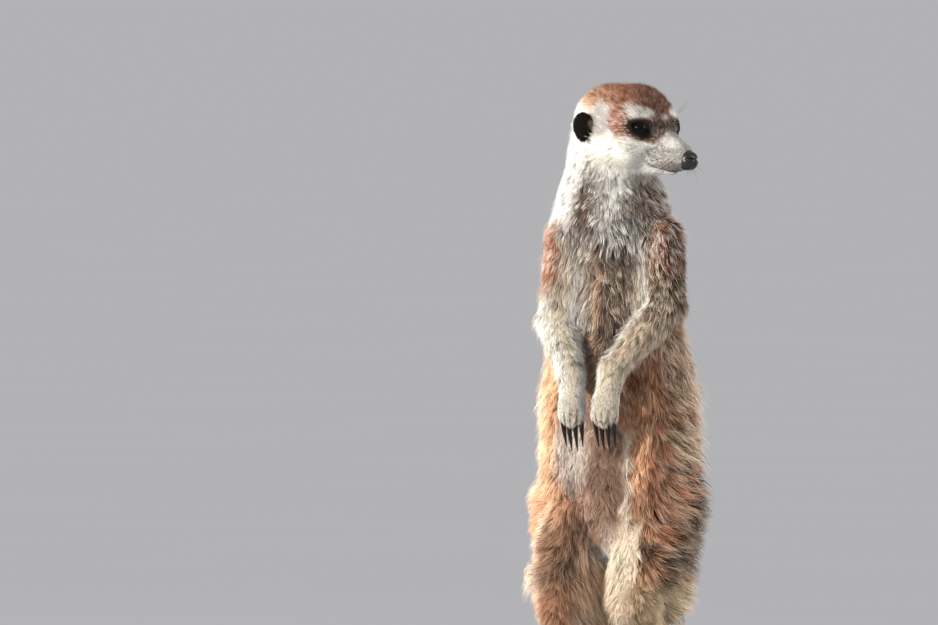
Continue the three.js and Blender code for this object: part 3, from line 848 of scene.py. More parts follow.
def tailColours(p):
    # white under the root, straw along the length, and a dark tip
    x, y, z = p.T
    along = y + 4 * ripple(p, 14, 13)
    darkTip = smooth(128, 156, along)
    paint = Paint(len(p), "tan")
    paint.add("white", smooth(30, 18, y) * smooth(14, 9, np.abs(x)) * smooth(96, 84, z), 0.7)
    paint.add("straw", smooth(30, 70, along), 0.5)
    paint.add("soot", darkTip, 0.97)
    return paint.colour, 0.5 - 0.3 * darkTip


def earColours(p, side):
    local = toHead(p) - earAxes(side)[0]
    paint = Paint(len(p), "soot")
    paint.add("taupe", blob(local, (5.0, side * 0.5, 1.6), (1.4, 3, 3.0), 0.5), 0.7)
    return paint.colour, np.full(len(p), 0.02)


def headFlow(p):
    # the hair lies away from the nose, and hangs on the cheeks
    q = toHead(p)
    away = unit(q - np.array([40, 0, -17]))
    away[:, 2] -= 0.55 * smooth(-6, -20, q[:, 2]) * smooth(20, 2, q[:, 0])
    return away @ headAxes


def trunkFlow(p):
    # downwards, back along the flanks and away from the middle line in front
    angle = np.abs(aroundSpine(p))
    fromMiddle = np.abs(p[:, 0])
    lie = np.zeros_like(p)
    lie[:, 2] = -1
    flank = smooth(45, 75, angle) * smooth(178, 130, p[:, 2])
    lie[:, 1] += 1.3 * flank
    lie[:, 0] += np.sign(p[:, 0]) * (0.35 * flank + 0.25 * smooth(60, 20, angle) * smooth(-4, 4, fromMiddle))
    return unit(lie)


def thighFlow(p, side):
    outward = smooth(35, 70, np.abs(aroundSpine(p)))
    inner = smooth(14, 8, side * p[:, 0])
    lie = [side * (0.08 + 0.6 * outward - 0.5 * inner), 0.8 * outward - 0.2 * inner, 0.5 * outward - 1]
    return unit(np.stack(lie, -1))


def alongMasses(masses, bias=(0, 0, 0)):
    # hair that runs from each joint to the next, leaning by bias
    def flow(p):
        total = np.zeros_like(p)
        for m in masses:
            near = bell(np.maximum(distanceTo(m, p), 0), 3)
            total += near[:, None] * unit(m["end"] - m["start"])
        return unit(total + 1e-6) + np.array(bias)
    return flow


# the forms of the body: their masses, their markings and how the hair lies on them
forms = {
    "head": {"masses": skull, "colours": headColours, "flow": headFlow},
    "trunk": {"masses": torso, "colours": trunkColours, "flow": trunkFlow},
    "tail": {"masses": tail, "colours": tailColours, "flow": alongMasses(tail)},
}
for side in sides:
    tag = sideName[side]
    arms, thighs, feet = upperArm(side) + forearm(side), thigh(side), shank(side) + foot(side)
    forms["arm_" + tag] = {"masses": arms, "colours": lambda p, side=side: armColours(p, side),
                           "flow": alongMasses(arms, (side * 0.12, 0.05, -0.25))}
    forms["hand_" + tag] = {"masses": hand(side), "colours": lambda p, side=side: armColours(p, side),
                            "flow": alongMasses(hand(side))}
    forms["thigh_" + tag] = {"masses": thighs, "colours": lambda p, side=side: thighColours(p, side),
                             "flow": lambda p, side=side: thighFlow(p, side)}
    forms["foot_" + tag] = {"masses": feet, "colours": lambda p, side=side: footColours(p, side),
                            "flow": alongMasses(feet, (0, 0.1, -0.05))}
    forms["ear_" + tag] = {"masses": [], "colours": lambda p, side=side: earColours(p, side),
                           "flow": lambda p, side=side: unit(p - onHead(-12.4, side * 22.8, -6))}


def shareOfForms(p):
    # how much each form has a say at each point, by its nearness
    q = toHead(p)
    shares = {}
    for name, form in forms.items():
        if name.startswith("ear_"):
            side = 1 if name == "ear_left" else -1
            gap = np.full(len(p), 99.0)
            near = np.linalg.norm(q - earAxes(side)[0], axis=1) < 14
            gap[near] = earField(q[near], side)
            shares[name] = 150 * bell(np.maximum(gap, 0), 0.6)
        else:
            gap = np.min([distanceTo(m, p) for m in form["masses"]], axis=0)
            reach = 1.2 if name.startswith("hand_") else 3.0
            shares[name] = bell(np.maximum(gap, 0), reach) + 1e-9
    crowd = sum(shares.values())
    return {name: share / crowd for name, share in shares.items()}


def hide(p, shares):
    # the colour of the hide, how grizzled it is and how the hair lies, mixed from the forms
    colour, tick, flow = np.zeros((len(p), 3)), np.zeros(len(p)), np.zeros((len(p), 3))
    for name, form in forms.items():
        here = shares[name] > 0.01
        if not here.any():
            continue
        c, t = form["colours"](p[here])
        k = shares[name][here]
        colour[here] += k[:, None] * c
        tick[here] += k * t
        flow[here] += k[:, None] * form["flow"](p[here])
    return colour, tick, flow


skinCells = {"head": 0.5, "body": 2.0, "neckCut": 262.0, "neckGap": 1.2}
skinMaterial = hideMaterial("skin", "hide", ticks=0.35, scale=1100.0, bump=0.5, Roughness=0.8,
                            Specular_IOR_Level=0.15)


def makeSkin():
    # the head is made in small cells and the body in larger ones, and the two are bridged at the neck
    cut, gap = skinCells["neckCut"], skinCells["neckGap"]
    shapes = []
    for low, high, cell, plane, keepAbove in (
            ((-50, -60, cut - 2.5), (70, 40, 324), skinCells["head"], cut + gap / 2, True),
            ((-60, -64, -4), (60, 196, cut + 4), skinCells["body"], cut - gap / 2, False)):
        points, quads = surfaceOf(skinField, low, high, cell)
        points[:, 2] = np.maximum(points[:, 2], 0.05)
        part = meshOf("part", points, quads, skinMaterial)
        work = bmesh.new()
        work.from_mesh(part.data)
        where = placed(np.array([0, 0, plane]))
        bmesh.ops.bisect_plane(work, geom=work.verts[:] + work.edges[:] + work.faces[:], plane_co=where,
                               plane_no=(0, 0, 1), clear_inner=keepAbove, clear_outer=not keepAbove)
        work.to_mesh(part.data)
        work.free()
        shapes.append(part)
    whole = bmesh.new()
    for part in shapes:
        whole.from_mesh(part.data)
        bpy.data.objects.remove(part)
    rims = [e for e in whole.edges if e.is_boundary and abs(e.verts[0].co.z * 1000 - cut) < 2 * gap]
    bmesh.ops.bridge_loops(whole, edges=rims)
    bmesh.ops.triangulate(whole, faces=[f for f in whole.faces if len(f.verts) > 4])
    for face in whole.faces:
        face.smooth = True
    mesh = bpy.data.meshes.new("skin")
    whole.to_mesh(mesh)
    whole.free()
    mesh.materials.append(skinMaterial)
    return linked("skin", mesh)


skin = makeSkin()


def arrayOf(things, field, width, kind=np.float32):
    flat = np.empty(len(things) * width, kind)
    things.foreach_get(field, flat)
    return flat.reshape(-1, width) if width > 1 else flat


skinMesh = skin.data
skinPoints = arrayOf(skinMesh.vertices, "co", 3).astype(float) * 1000 - shift
skinNormals = arrayOf(skinMesh.vertex_normals, "vector", 3).astype(float)
skinMesh.calc_loop_triangles()
skinTriangles = arrayOf(skinMesh.loop_triangles, "vertices", 3, np.int32)
skinShares = shareOfForms(skinPoints)
skinColour = hide(skinPoints, skinShares)[0]
print("skin:", len(skinPoints), "points,", len(skinTriangles), "triangles")


def setColour(mesh, name, values):
    layer = mesh.color_attributes.new(name, "FLOAT_COLOR", "POINT")
    opaque = np.concatenate([values, np.ones((len(values), 1))], 1)
    layer.data.foreach_set("color", opaque.astype(np.float32).ravel())


# the skin has the hide's colour at half its brightness, three quarters on the head: painted shade in the gaps
# between the tufts
setColour(skinMesh, "hide", np.clip(skinColour * (0.5 + 0.25 * skinShares["head"])[:, None], 0, 1))


# The coat is made of tufts rooted on the skin, each a thin closed spike that follows the lie of the hair.
# density: tufts for each square millimetre; length, width: millimetres; lift: degrees at the root;
# curl: how much of the lift is lost towards the tip; stray: share of long guard hairs;
# clump: how far the tips of a lock draw together; lock: tufts in it;
# over: how far guard hairs may pass the outline
coats = {
    "head": {"density": 8.4, "length": 3.1, "width": 0.23, "lift": 46, "curl": 0.45,
             "stray": 0.08, "clump": 0.25, "lock": 7, "over": 2.2},
    "ear": {"density": 22, "length": 1.7, "width": 0.25, "lift": 28, "curl": 0.3,
            "stray": 0.02, "clump": 0.1, "lock": 6, "over": 1},
    "trunk": {"density": 3.4, "length": 9.4, "width": 0.36, "lift": 42, "curl": 0.6,
              "stray": 0.1, "clump": 0.5, "lock": 24, "over": 2.4},
    "arm": {"density": 4.3, "length": 6.2, "width": 0.34, "lift": 38, "curl": 0.5,
            "stray": 0.08, "clump": 0.4, "lock": 16, "over": 2},
    "hand": {"density": 7, "length": 2.1, "width": 0.28, "lift": 26, "curl": 0.4,
             "stray": 0.03, "clump": 0.2, "lock": 8, "over": 0.5},
    "thigh": {"density": 4.0, "length": 10.5, "width": 0.37, "lift": 50, "curl": 0.5,
              "stray": 0.16, "clump": 0.5, "lock": 26, "over": 1.6},
    "foot": {"density": 3.2, "length": 4.6, "width": 0.36, "lift": 34, "curl": 0.5,
             "stray": 0.05, "clump": 0.25, "lock": 10, "over": 0.5},
    "tail": {"density": 3.6, "length": 8, "width": 0.4, "lift": 34, "curl": 0.6,
             "stray": 0.1, "clump": 0.35, "lock": 16, "over": 1},
}
coatMaterial = hideMaterial("coat", "hair", ticks=0.12, scale=2600.0, bump=0, Roughness=0.6,
                            Specular_IOR_Level=0.06)


def rootsOnSkin(density):
    # spread by area, walking the triangles in order so that no patch is left bare
    a, b, c = np.moveaxis(skinPoints[skinTriangles], 1, 0)
    area = np.linalg.norm(np.cross(b - a, c - a), axis=1) / 2
    wanted = np.cumsum(area * density[skinTriangles].mean(1))
    at = np.searchsorted(wanted, np.arange(int(wanted[-1])) + dice.random(int(wanted[-1])))
    at = np.minimum(at, len(area) - 1)
    u, v = dice.random((2, len(at)))
    fold = u + v > 1
    u[fold], v[fold] = 1 - u[fold], 1 - v[fold]
    weights = np.stack([1 - u - v, u, v], -1)
    return skinTriangles[at], weights


def mixedAt(values, corners, weights):
    picked = values[corners]
    return (picked * (weights if picked.ndim == 2 else weights[:, :, None])).sum(1)


def unrolled(p, masses):
    # each mass of a form unrolled as a strip: the angle about its axis and how far along it
    gaps = np.stack([distanceTo(m, p) for m in masses])
    own = gaps.argmin(0)
    flat = np.zeros((len(p), 2))
    for i, m in enumerate(masses):
        here = own == i
        run = m["end"] - m["start"]
        length = np.linalg.norm(run)
        axis = run / length
        first = unit(np.cross(axis, across if abs(axis[0]) < 0.8 else backwards))
        second = np.cross(axis, first)
        away = p[here] - m["start"]
        before, after = m["radii"]
        flat[here, 0] = np.arctan2(away @ second, away @ first) / (2 * math.pi) + 0.5
        flat[here, 1] = (i + np.clip((away @ axis + before) / (length + before + after), 0, 1)) / len(masses)
    return flat * 0.99 + 0.005


formNames = list(forms)
shareTable = np.stack([skinShares[name] for name in formNames], -1)


def coatOnSkin():
    # the coat's settings at each point of the skin
    kinds = [coats[name.split("_")[0]] for name in formNames]
    settings = {key: shareTable @ np.array([kind[key] for kind in kinds]) for key in coats["head"]}
    x, y, z = skinPoints.T
    q = toHead(skinPoints)
    turned = aroundSpine(skinPoints)
    onHeadSkin = z > skinCells["neckCut"]
    trunkShare = skinShares["trunk"]
    legShare = skinShares["thigh_left"] + skinShares["thigh_right"]
    legShare = legShare + skinShares["foot_left"] + skinShares["foot_right"]

    # no hair grows in the eyes' openings, on the nose, the lips' edge, the soles and the ends of the digits
    bare, eyeward = np.zeros(len(z)), np.zeros(len(z))
    for side in sides:
        ring, depth = lidRing(q, side)
        bare = np.maximum(bare, (1 - smooth(1.1, 1.35, ring)) * (depth > 0))
        away = np.linalg.norm(q - np.array([17.5, side * 13.8, -1.6]), axis=1)
        eyeward = np.maximum(eyeward, smooth(13, 5, away))
    bare = np.maximum(bare, smooth(36.9, 37.6, q[:, 0]) * onHeadSkin)
    bare = np.maximum(bare, lipCrease(q[:, 0], q[:, 2], 0.7, 17, 20) * onHeadSkin)
    bare = np.maximum(bare, smooth(3.5, 1.5, z) * smooth(-0.2, -0.7, skinNormals[:, 2]))

    # it is shortest round the eyes, on the muzzle and towards the lips, and shorter on throat and chest
    faceward = smooth(12, 30, q[:, 0]) * onHeadSkin
    frontward = smooth(75, 45, np.abs(turned)) * trunkShare
    facingFront = smooth(0.3, 0.9, -skinNormals[:, 1]) * (1 - skinShares["head"])
    neckward = between(z, 240, 256, 274, 290) * (1 - faceward)
    short = (1 - 0.62 * faceward) * (1 - 0.55 * eyeward)
    short = short * (1 - 0.4 * neckward) * (1 - 0.3 * frontward) * (1 - 0.35 * legShare * facingFront)

    # sleek on the belly and between the thighs, a fringe along the left flank and low on the right one, and
    # long hairs that close the gap between the lower legs
    sleek = blob(skinPoints, (-5, -34, 138), (20, 24, 32), 0.5) * trunkShare
    sleek = np.maximum(sleek, smooth(112, 100, z) * between(x, -14, -8, 16, 20) * smooth(30, 44, z) * (y < 8))
    fringe = between(turned, 46, 60, 105, 125) * between(z, 40, 50, 176, 196)
    fringe = np.maximum(fringe, between(turned, -125, -105, -60, -46) * between(z, 40, 48, 74, 84))
    inward = smooth(0.4, 0.8, -np.sign(x) * skinNormals[:, 0]) * between(z, 36, 46, 88, 96)
    inward = inward * smooth(22, 16, np.abs(x)) * (y < 6)

    changes = {
        "density": [1 - bare, 1 + 0.7 * faceward + 0.5 * eyeward],
        "length": [short * (1 - 0.45 * sleek) * (1 + 1.6 * inward)],
        "width": [1 - 0.25 * faceward],
        "lift": [1 - 0.4 * sleek, 1 + 0.35 * fringe, 1 - 0.35 * faceward, 1 - 0.35 * facingFront],
        "stray": [1 + 1.2 * fringe],
    }
    for key, factors in changes.items():
        for factor in factors:
            settings[key] = settings[key] * factor
    settings["stray"] = settings["stray"] + 0.45 * inward
    settings["over"] = settings["over"] + 4.5 * fringe + 6 * inward
    settings["clump"] = settings["clump"] + 0.15 * fringe
    settings["reach"] = 1.35 + 0.55 * fringe
    return settings


growth = {
    "waves": 0.28, "ruffle": 0.16,           # how far the lie wanders in waves and from hair to hair
    "lengths": (0.7, 1.15), "widths": (0.75, 1.2), "lifts": (0.6, 1.25),
    "guardWidth": 0.6, "guardLift": 1.25,
    "over": 0.3,                             # how far tufts that aren't guard hairs pass the outline
    "lockMood": 0.9, "ownMood": 0.6,         # how strongly locks and tufts differ in brightness
    "darkShare": 0.26, "paleShare": 0.3, "darkness": 0.3,
}
throatTop = 266


def frostAt(p):
    # how pale the palest hairs are: cream where the coat is grizzled, elsewhere close to their neighbours
    turned, z = aroundSpine(p), p[:, 2]
    frost = 1 - smooth(204, 188, z) * 0.75 * between(turned, -125, -105, 38, 54)
    frost = frost * (1 - 0.45 * smooth(136, 120, z) * between(turned, 40, 54, 110, 130))
    return np.where(z > throatTop, 0.3 + 0.4 * smooth(8, 2, toHead(p)[:, 2]), frost)


def leaning(lie, normal, angle, reach):
    return (np.cos(angle) * reach)[:, None] * lie + (np.sin(angle) * reach)[:, None] * normal


def growCoat():
    settings = coatOnSkin()
    corners, weights = rootsOnSkin(settings["density"])
    root = mixedAt(skinPoints, corners, weights)
    normal = unit(mixedAt(skinNormals, corners, weights))
    colour, tick, flow = hide(root, shareOfForms(root))
    value = {key: mixedAt(settings[key], corners, weights) for key in settings}
    count = len(root)
    wander = np.stack([ripple(root, 11, seed) for seed in (21, 22, 23)], -1) * growth["waves"]
    wander += dice.normal(size=(count, 3)) * growth["ruffle"]
    lie = unit(flow) + wander
    lie = unit(lie - (lie * normal).sum(1, keepdims=True) * normal)
    guard = dice.random(count) < value["stray"]
    length = value["length"] * dice.uniform(*growth["lengths"], count) * np.where(guard, value["reach"], 1)
    width = value["width"] * dice.uniform(*growth["widths"], count) * np.where(guard, growth["guardWidth"], 1)
    lift = value["lift"] * dice.uniform(*growth["lifts"], count) * np.where(guard, growth["guardLift"], 1)
    lift = np.radians(lift)
    low = lift * (1 - value["curl"])
    middle = root + leaning(lie, normal, lift, length * 0.45)
    tip = middle + leaning(lie, normal, low, length * 0.55)
    # neighbouring tufts lean on the tip of one of them and make a lock
    seeds = np.flatnonzero(dice.random(count) < 1 / value["lock"])
    finder = KDTree(len(seeds))
    for i, place in enumerate(root[seeds].tolist()):
        finder.insert(place, i)
    finder.balance()
    lock = seeds[[finder.find(place)[1] for place in root.tolist()]]
    pull = (value["clump"] * dice.uniform(0.6, 1.1, count))[:, None]
    middle = middle + (middle[lock] - middle) * pull * 0.5
    tip = tip + (tip[lock] - tip) * pull
    # and the coat ends where the solids do, but for the guard hairs and the ears
    owner = shareTable[corners[:, 0]].argmax(1)
    onEar = np.isin(owner, [formNames.index("ear_" + tag) for tag in sideName.values()])
    past = np.where(onEar, 0, bodyField(tip, 0.0) - np.where(guard, value["over"], growth["over"]))
    tip = tip - normal * np.clip(past, 0, 0.9 * length * np.sin(lift))[:, None]
    sink = np.minimum(0.5, 0.12 * length)[:, None] * normal
    # each lock and each tuft is darker or paler than its neighbours, dark at the root and pale at the tip
    mood = growth["lockMood"] * dice.normal(size=count)[lock] + growth["ownMood"] * dice.normal(size=count)
    draw = dice.random(count)
    draw = np.where(dice.random(count) < 0.6, draw[lock], draw)
    dark, pale = draw < growth["darkShare"] * tick, draw > 1 - growth["paleShare"] * tick
    base = colour * np.clip(1 + mood * (0.05 + 0.16 * tick), 0.5, 1.5)[:, None]
    base[dark] *= growth["darkness"]
    frost = (frostAt(root) * 0.65)[:, None]
    ice = palette["cream"] + (palette["white"] - palette["cream"]) * smooth(224, 240, root[:, 2])[:, None]
    base = np.where(pale[:, None], base * (1.25 - frost) + ice * frost, base)
    # the roots darker than the hair, more so where it is grizzled and less on the head: partly the hair's own
    # dark base and partly painted shade deep in the coat
    rootColour = base * (0.62 - 0.3 * tick + 0.2 * (root[:, 2] > 270)).clip(0.2)[:, None]
    tipColour = base * 1.1
    aboveThroat = root[:, 2] > throatTop
    fair = (guard & (tick > 0.3) & ~aboveThroat)[:, None]
    tipColour = np.where(fair, tipColour * (1.2 - frost) + ice * frost, tipColour)
    tipColour[guard & aboveThroat & (tick > 0.5)] *= 0.25
    return {"root": root, "normal": normal, "sink": sink, "middle": middle, "tip": tip,
            "broad": unit(np.cross(normal, lie)), "width": width, "guard": guard,
            "crisp": 0.25 + 0.75 * tick, "colours": (rootColour, base, tipColour), "owner": owner}


coat = growCoat()
print("coat:", len(coat["root"]), "tufts")


patchSize = 0.0015  # of a tuft's place on the unrolled map


def spikes(pick, steps):
    # three-sided spikes: a ring at the root, one half way where the tuft bends, and the tip
    root, normal, broad = coat["root"][pick], coat["normal"][pick], coat["broad"][pick]
    middle, tip, width = coat["middle"][pick], coat["tip"][pick], coat["width"][pick][:, None]
    rings = []
    for centre, share in ((root - coat["sink"][pick], 1.0), (middle, 0.8))[:steps]:
        rings += [centre - broad * width * share / 2, centre + broad * width * share / 2,
                  centre + normal * width * share * 0.45]
    points = np.stack([*rings, tip], 1)
    ringCount = steps * 3
    faces = [(0, 2, 1)]
    for step in range(steps):
        low, high = step * 3, step * 3 + 3
        for a, b in ((0, 1), (1, 2), (2, 0)):
            if high < ringCount:
                faces += [(low + a, low + b, high + b), (low + a, high + b, high + a)]
            else:
                faces.append((low + a, low + b, ringCount))
    each = points.shape[1]
    faces = np.array(faces)[None] + (np.arange(len(root)) * each)[:, None, None]
    bulge = unit(np.stack([-broad + 0.2 * normal, broad + 0.2 * normal, normal], 1))
    shading = np.concatenate([*[bulge] * steps, normal[:, None]], 1)
    shading = unit(coat["crisp"][pick][:, None, None] * shading + 0.6 * normal[:, None])
    atRoot, atBend, atTip = (colour[pick] for colour in coat["colours"])
    colours = np.stack([atRoot] * 3 + [atBend] * 3 * (steps - 1) + [atTip], 1)
    patch = [(-1, -1), (1, -1), (0, -1)] + [(-1, 0), (1, 0), (0, 0)] * (steps - 1) + [(0, 1)]
    patch = np.array(patch) * patchSize
    return points, faces, shading, colours, patch


def makeCoat(name, members):
    # members: (form, which of its tufts, where its unrolled map lies across the square)
    parts, total = [], 0
    for form, inside, (start, share) in members:
        masses = forms[form]["masses"] or [mass(onHead(-9, 0, -1), onHead(-15, 0, -1), 22, 22, 0)]
        own = (coat["owner"] == formNames.index(form)) & inside
        for steps in (1, 2):
            pick = np.flatnonzero(own & (coat["guard"] == (steps == 2)))
            points, faces, shading, colours, patch = spikes(pick, steps)
            uv = unrolled(coat["root"][pick], masses) * (share, 1) + (start, 0)
            uv = uv[:, None] + patch[None]
            parts.append((points.reshape(-1, 3), faces.reshape(-1, 3) + total, shading.reshape(-1, 3),
                          colours.reshape(-1, 3), uv.reshape(-1, 2)))
            total += points.shape[0] * points.shape[1]
    points, faces, shading, colours, uv = (np.concatenate(rows) for rows in zip(*parts))
    points[:, 2] = np.maximum(points[:, 2], 0.1)
    piece = meshOf(name, points, faces, coatMaterial)
    setColour(piece.data, "hair", np.clip(colours, 0, 1))
    setUv(piece.data, "OFBake", uv[faces.ravel()])
    piece.data.normals_split_custom_set_from_vertices(shading.astype(np.float32))
    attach(piece, "root")
    print(name + ":", len(faces), "triangles")


everywhere = np.ones(len(coat["root"]), bool)
upper = coat["root"][:, 2] > 192
front = np.abs(aroundSpine(coat["root"])) < 88
faceOnly = toHead(coat["root"])[:, 0] > 5
makeCoat("coat_head", [("head", ~faceOnly, (0, 1))])
makeCoat("coat_face", [("head", faceOnly, (0, 1))])
makeCoat("coat_ears", [("ear_left", everywhere, (0, 0.5)), ("ear_right", everywhere, (0.5, 0.5))])
makeCoat("coat_chest", [("trunk", upper, (0, 1))])
makeCoat("coat_belly", [("trunk", ~upper & front, (0, 1))])
makeCoat("coat_back", [("trunk", ~upper & ~front, (0, 1))])
makeCoat("coat_tail", [("tail", everywhere, (0, 1))])
for tag in ("left", "right"):
    makeCoat("coat_arm_" + tag,
             [("arm_" + tag, everywhere, (0, 0.6)), ("hand_" + tag, everywhere, (0.6, 0.4))])
    makeCoat("coat_leg_" + tag,
             [("thigh_" + tag, everywhere, (0, 0.5)), ("foot_" + tag, everywhere, (0.5, 0.5))])


eye = {
    "radius": 4.6, "bulge": 0.25, "rings": 40, "around": 56, "roughness": 0.12, "sheen": 0.04,
    "tones": ((0.0, (0.002, 0.002, 0.002)), (0.3, (0.003, 0.0025, 0.002)), (0.36, (0.016, 0.007, 0.003)),
              (0.56, (0.009, 0.004, 0.002)), (0.64, (0.002, 0.0015, 0.0015)), (1.0, (0.005, 0.004, 0.004))),
}


def eyeMaterial():
    # coloured by how far each point lies from the middle of the gaze: pupil, brown iris, dark rim
    material, tree, shader = newMaterial(
        "eyeBall", Roughness=eye["roughness"], Specular_IOR_Level=eye["sheen"], Coat_Weight=0.2,
        Coat_Roughness=0.07)
    uv = nodeIn(tree, "ShaderNodeUVMap", uv_map="gaze")
    split = nodeIn(tree, "ShaderNodeSeparateXYZ")
    rays = nodeIn(tree, "ShaderNodeTexNoise", {"Scale": 14.0, "Detail": 3.0})
    ramp = nodeIn(tree, "ShaderNodeValToRGB")
    ramp.color_ramp.elements.remove(ramp.color_ramp.elements[0])
    for i, (at, colour) in enumerate(eye["tones"]):
        stop = ramp.color_ramp.elements[0] if i == 0 else ramp.color_ramp.elements.new(at)
        stop.position = at
        stop.color = (*colour, 1)
    wander = nodeIn(tree, "ShaderNodeMath", {1: 0.05}, operation="MULTIPLY_ADD")
    wire(tree, (uv, "UV", split, 0), (uv, "UV", rays, "Vector"), (rays, "Fac", wander, 0),
         (split, "Y", wander, 2), (wander, 0, ramp, "Fac"), (ramp, "Color", shader, "Base Color"))
    return material


eyeSurface = eyeMaterial()


def makeEye(side):
    out, long, short = eyeAxes(side)
    gaze, level, upright = (axis @ headAxes for axis in (out, long, short))
    points, uv = [], []
    for ring in range(eye["rings"] + 1):
        angle = math.pi * ring / eye["rings"]
        reach = eye["radius"] + eye["bulge"] * math.exp(-(angle / 0.75) ** 2)
        for step in range(eye["around"]):
            spin = 2 * math.pi * step / eye["around"]
            spoke = math.cos(spin) * level + math.sin(spin) * upright
            points.append(eyeCentre(side) + reach * (math.cos(angle) * gaze + math.sin(angle) * spoke))
            uv.append((step / eye["around"], angle / math.pi))
    faces = []
    for ring in range(eye["rings"]):
        for step in range(eye["around"]):
            after = (step + 1) % eye["around"]
            a, b = ring * eye["around"] + step, ring * eye["around"] + after
            faces.append((a, a + eye["around"], b + eye["around"], b))
    piece = meshOf("eyeball_" + sideName[side], np.array(points), faces, eyeSurface)
    setUv(piece.data, "gaze", np.array(uv)[np.array(faces).ravel()])
    work = bmesh.new()
    work.from_mesh(piece.data)
    bmesh.ops.remove_doubles(work, verts=work.verts[:], dist=1e-6)
    bmesh.ops.recalc_face_normals(work, faces=work.faces[:])
    work.to_mesh(piece.data)
    work.free()
    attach(piece, "root")
    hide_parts("eye_" + sideName[side])


for side in sides:
    makeEye(side)
print("eyes done")


nose = {"centre": (36.9, 0, -17.7), "radii": (4.9, 4.75, 4.85), "size": 4.8, "cell": 0.3,
        "roughness": 0.33, "pebbles": 2300.0,
        "tones": {6: (0.009, 0.008, 0.0085, 1), 7: (0.026, 0.022, 0.022, 1)}}


def noseField(p):
    q = toHead(p)
    local = q - np.array(nose["centre"])
    f, l, h = local.T
    a, b, c = np.abs(local / nose["radii"]).T
    ball = ((a ** 2.3 + b ** 2.4 + c ** 2.3) ** (1 / 2.35) - 1) * nose["size"]
    ball = carved(ball, f + 1.4 - 0.12 * h, 0.8)
    for way in sides:
        # a nostril opens forwards and curls out and back along the wing
        start, end = np.array([4.2, way * 1.9, 0.3]), np.array([2.4, way * 5.0, 0.9])
        run = end - start
        t = np.clip(((local - start) @ run) / (run @ run), 0, 1)
        gap = np.linalg.norm(local - start - t[:, None] * run, axis=1)
        ball = carved(ball, gap - 1.15 + 0.7 * t, 0.35)
    ball = ball + 0.45 * bell(l, 0.35) * smooth(1.5, -1.5, h) * smooth(1, 3, f)
    return ball


def leatherMaterial():
    material, tree, shader = newMaterial("noseLeather", Roughness=nose["roughness"], Specular_IOR_Level=0.36)
    place = nodeIn(tree, "ShaderNodeTexCoord")
    pebbles = nodeIn(tree, "ShaderNodeTexVoronoi", {"Scale": nose["pebbles"]}, feature="SMOOTH_F1")
    relief = nodeIn(tree, "ShaderNodeBump", {"Strength": 0.32, "Distance": 0.00025}, invert=True)
    tint = nodeIn(tree, "ShaderNodeMix", nose["tones"], data_type="RGBA")
    wire(tree, (place, "Object", pebbles, "Vector"), (pebbles, "Distance", relief, "Height"),
         (pebbles, "Distance", tint, "Factor"), (tint, 2, shader, "Base Color"),
         (relief, 0, shader, "Normal"))
    return material


def makeNose():
    middle = onHead(*nose["centre"])
    points, quads = surfaceOf(noseField, middle - 7, middle + 7, nose["cell"])
    piece = meshOf("nose_pad", points, quads, leatherMaterial())
    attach(piece, "root")
    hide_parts("nose")


makeNose()
print("nose done")


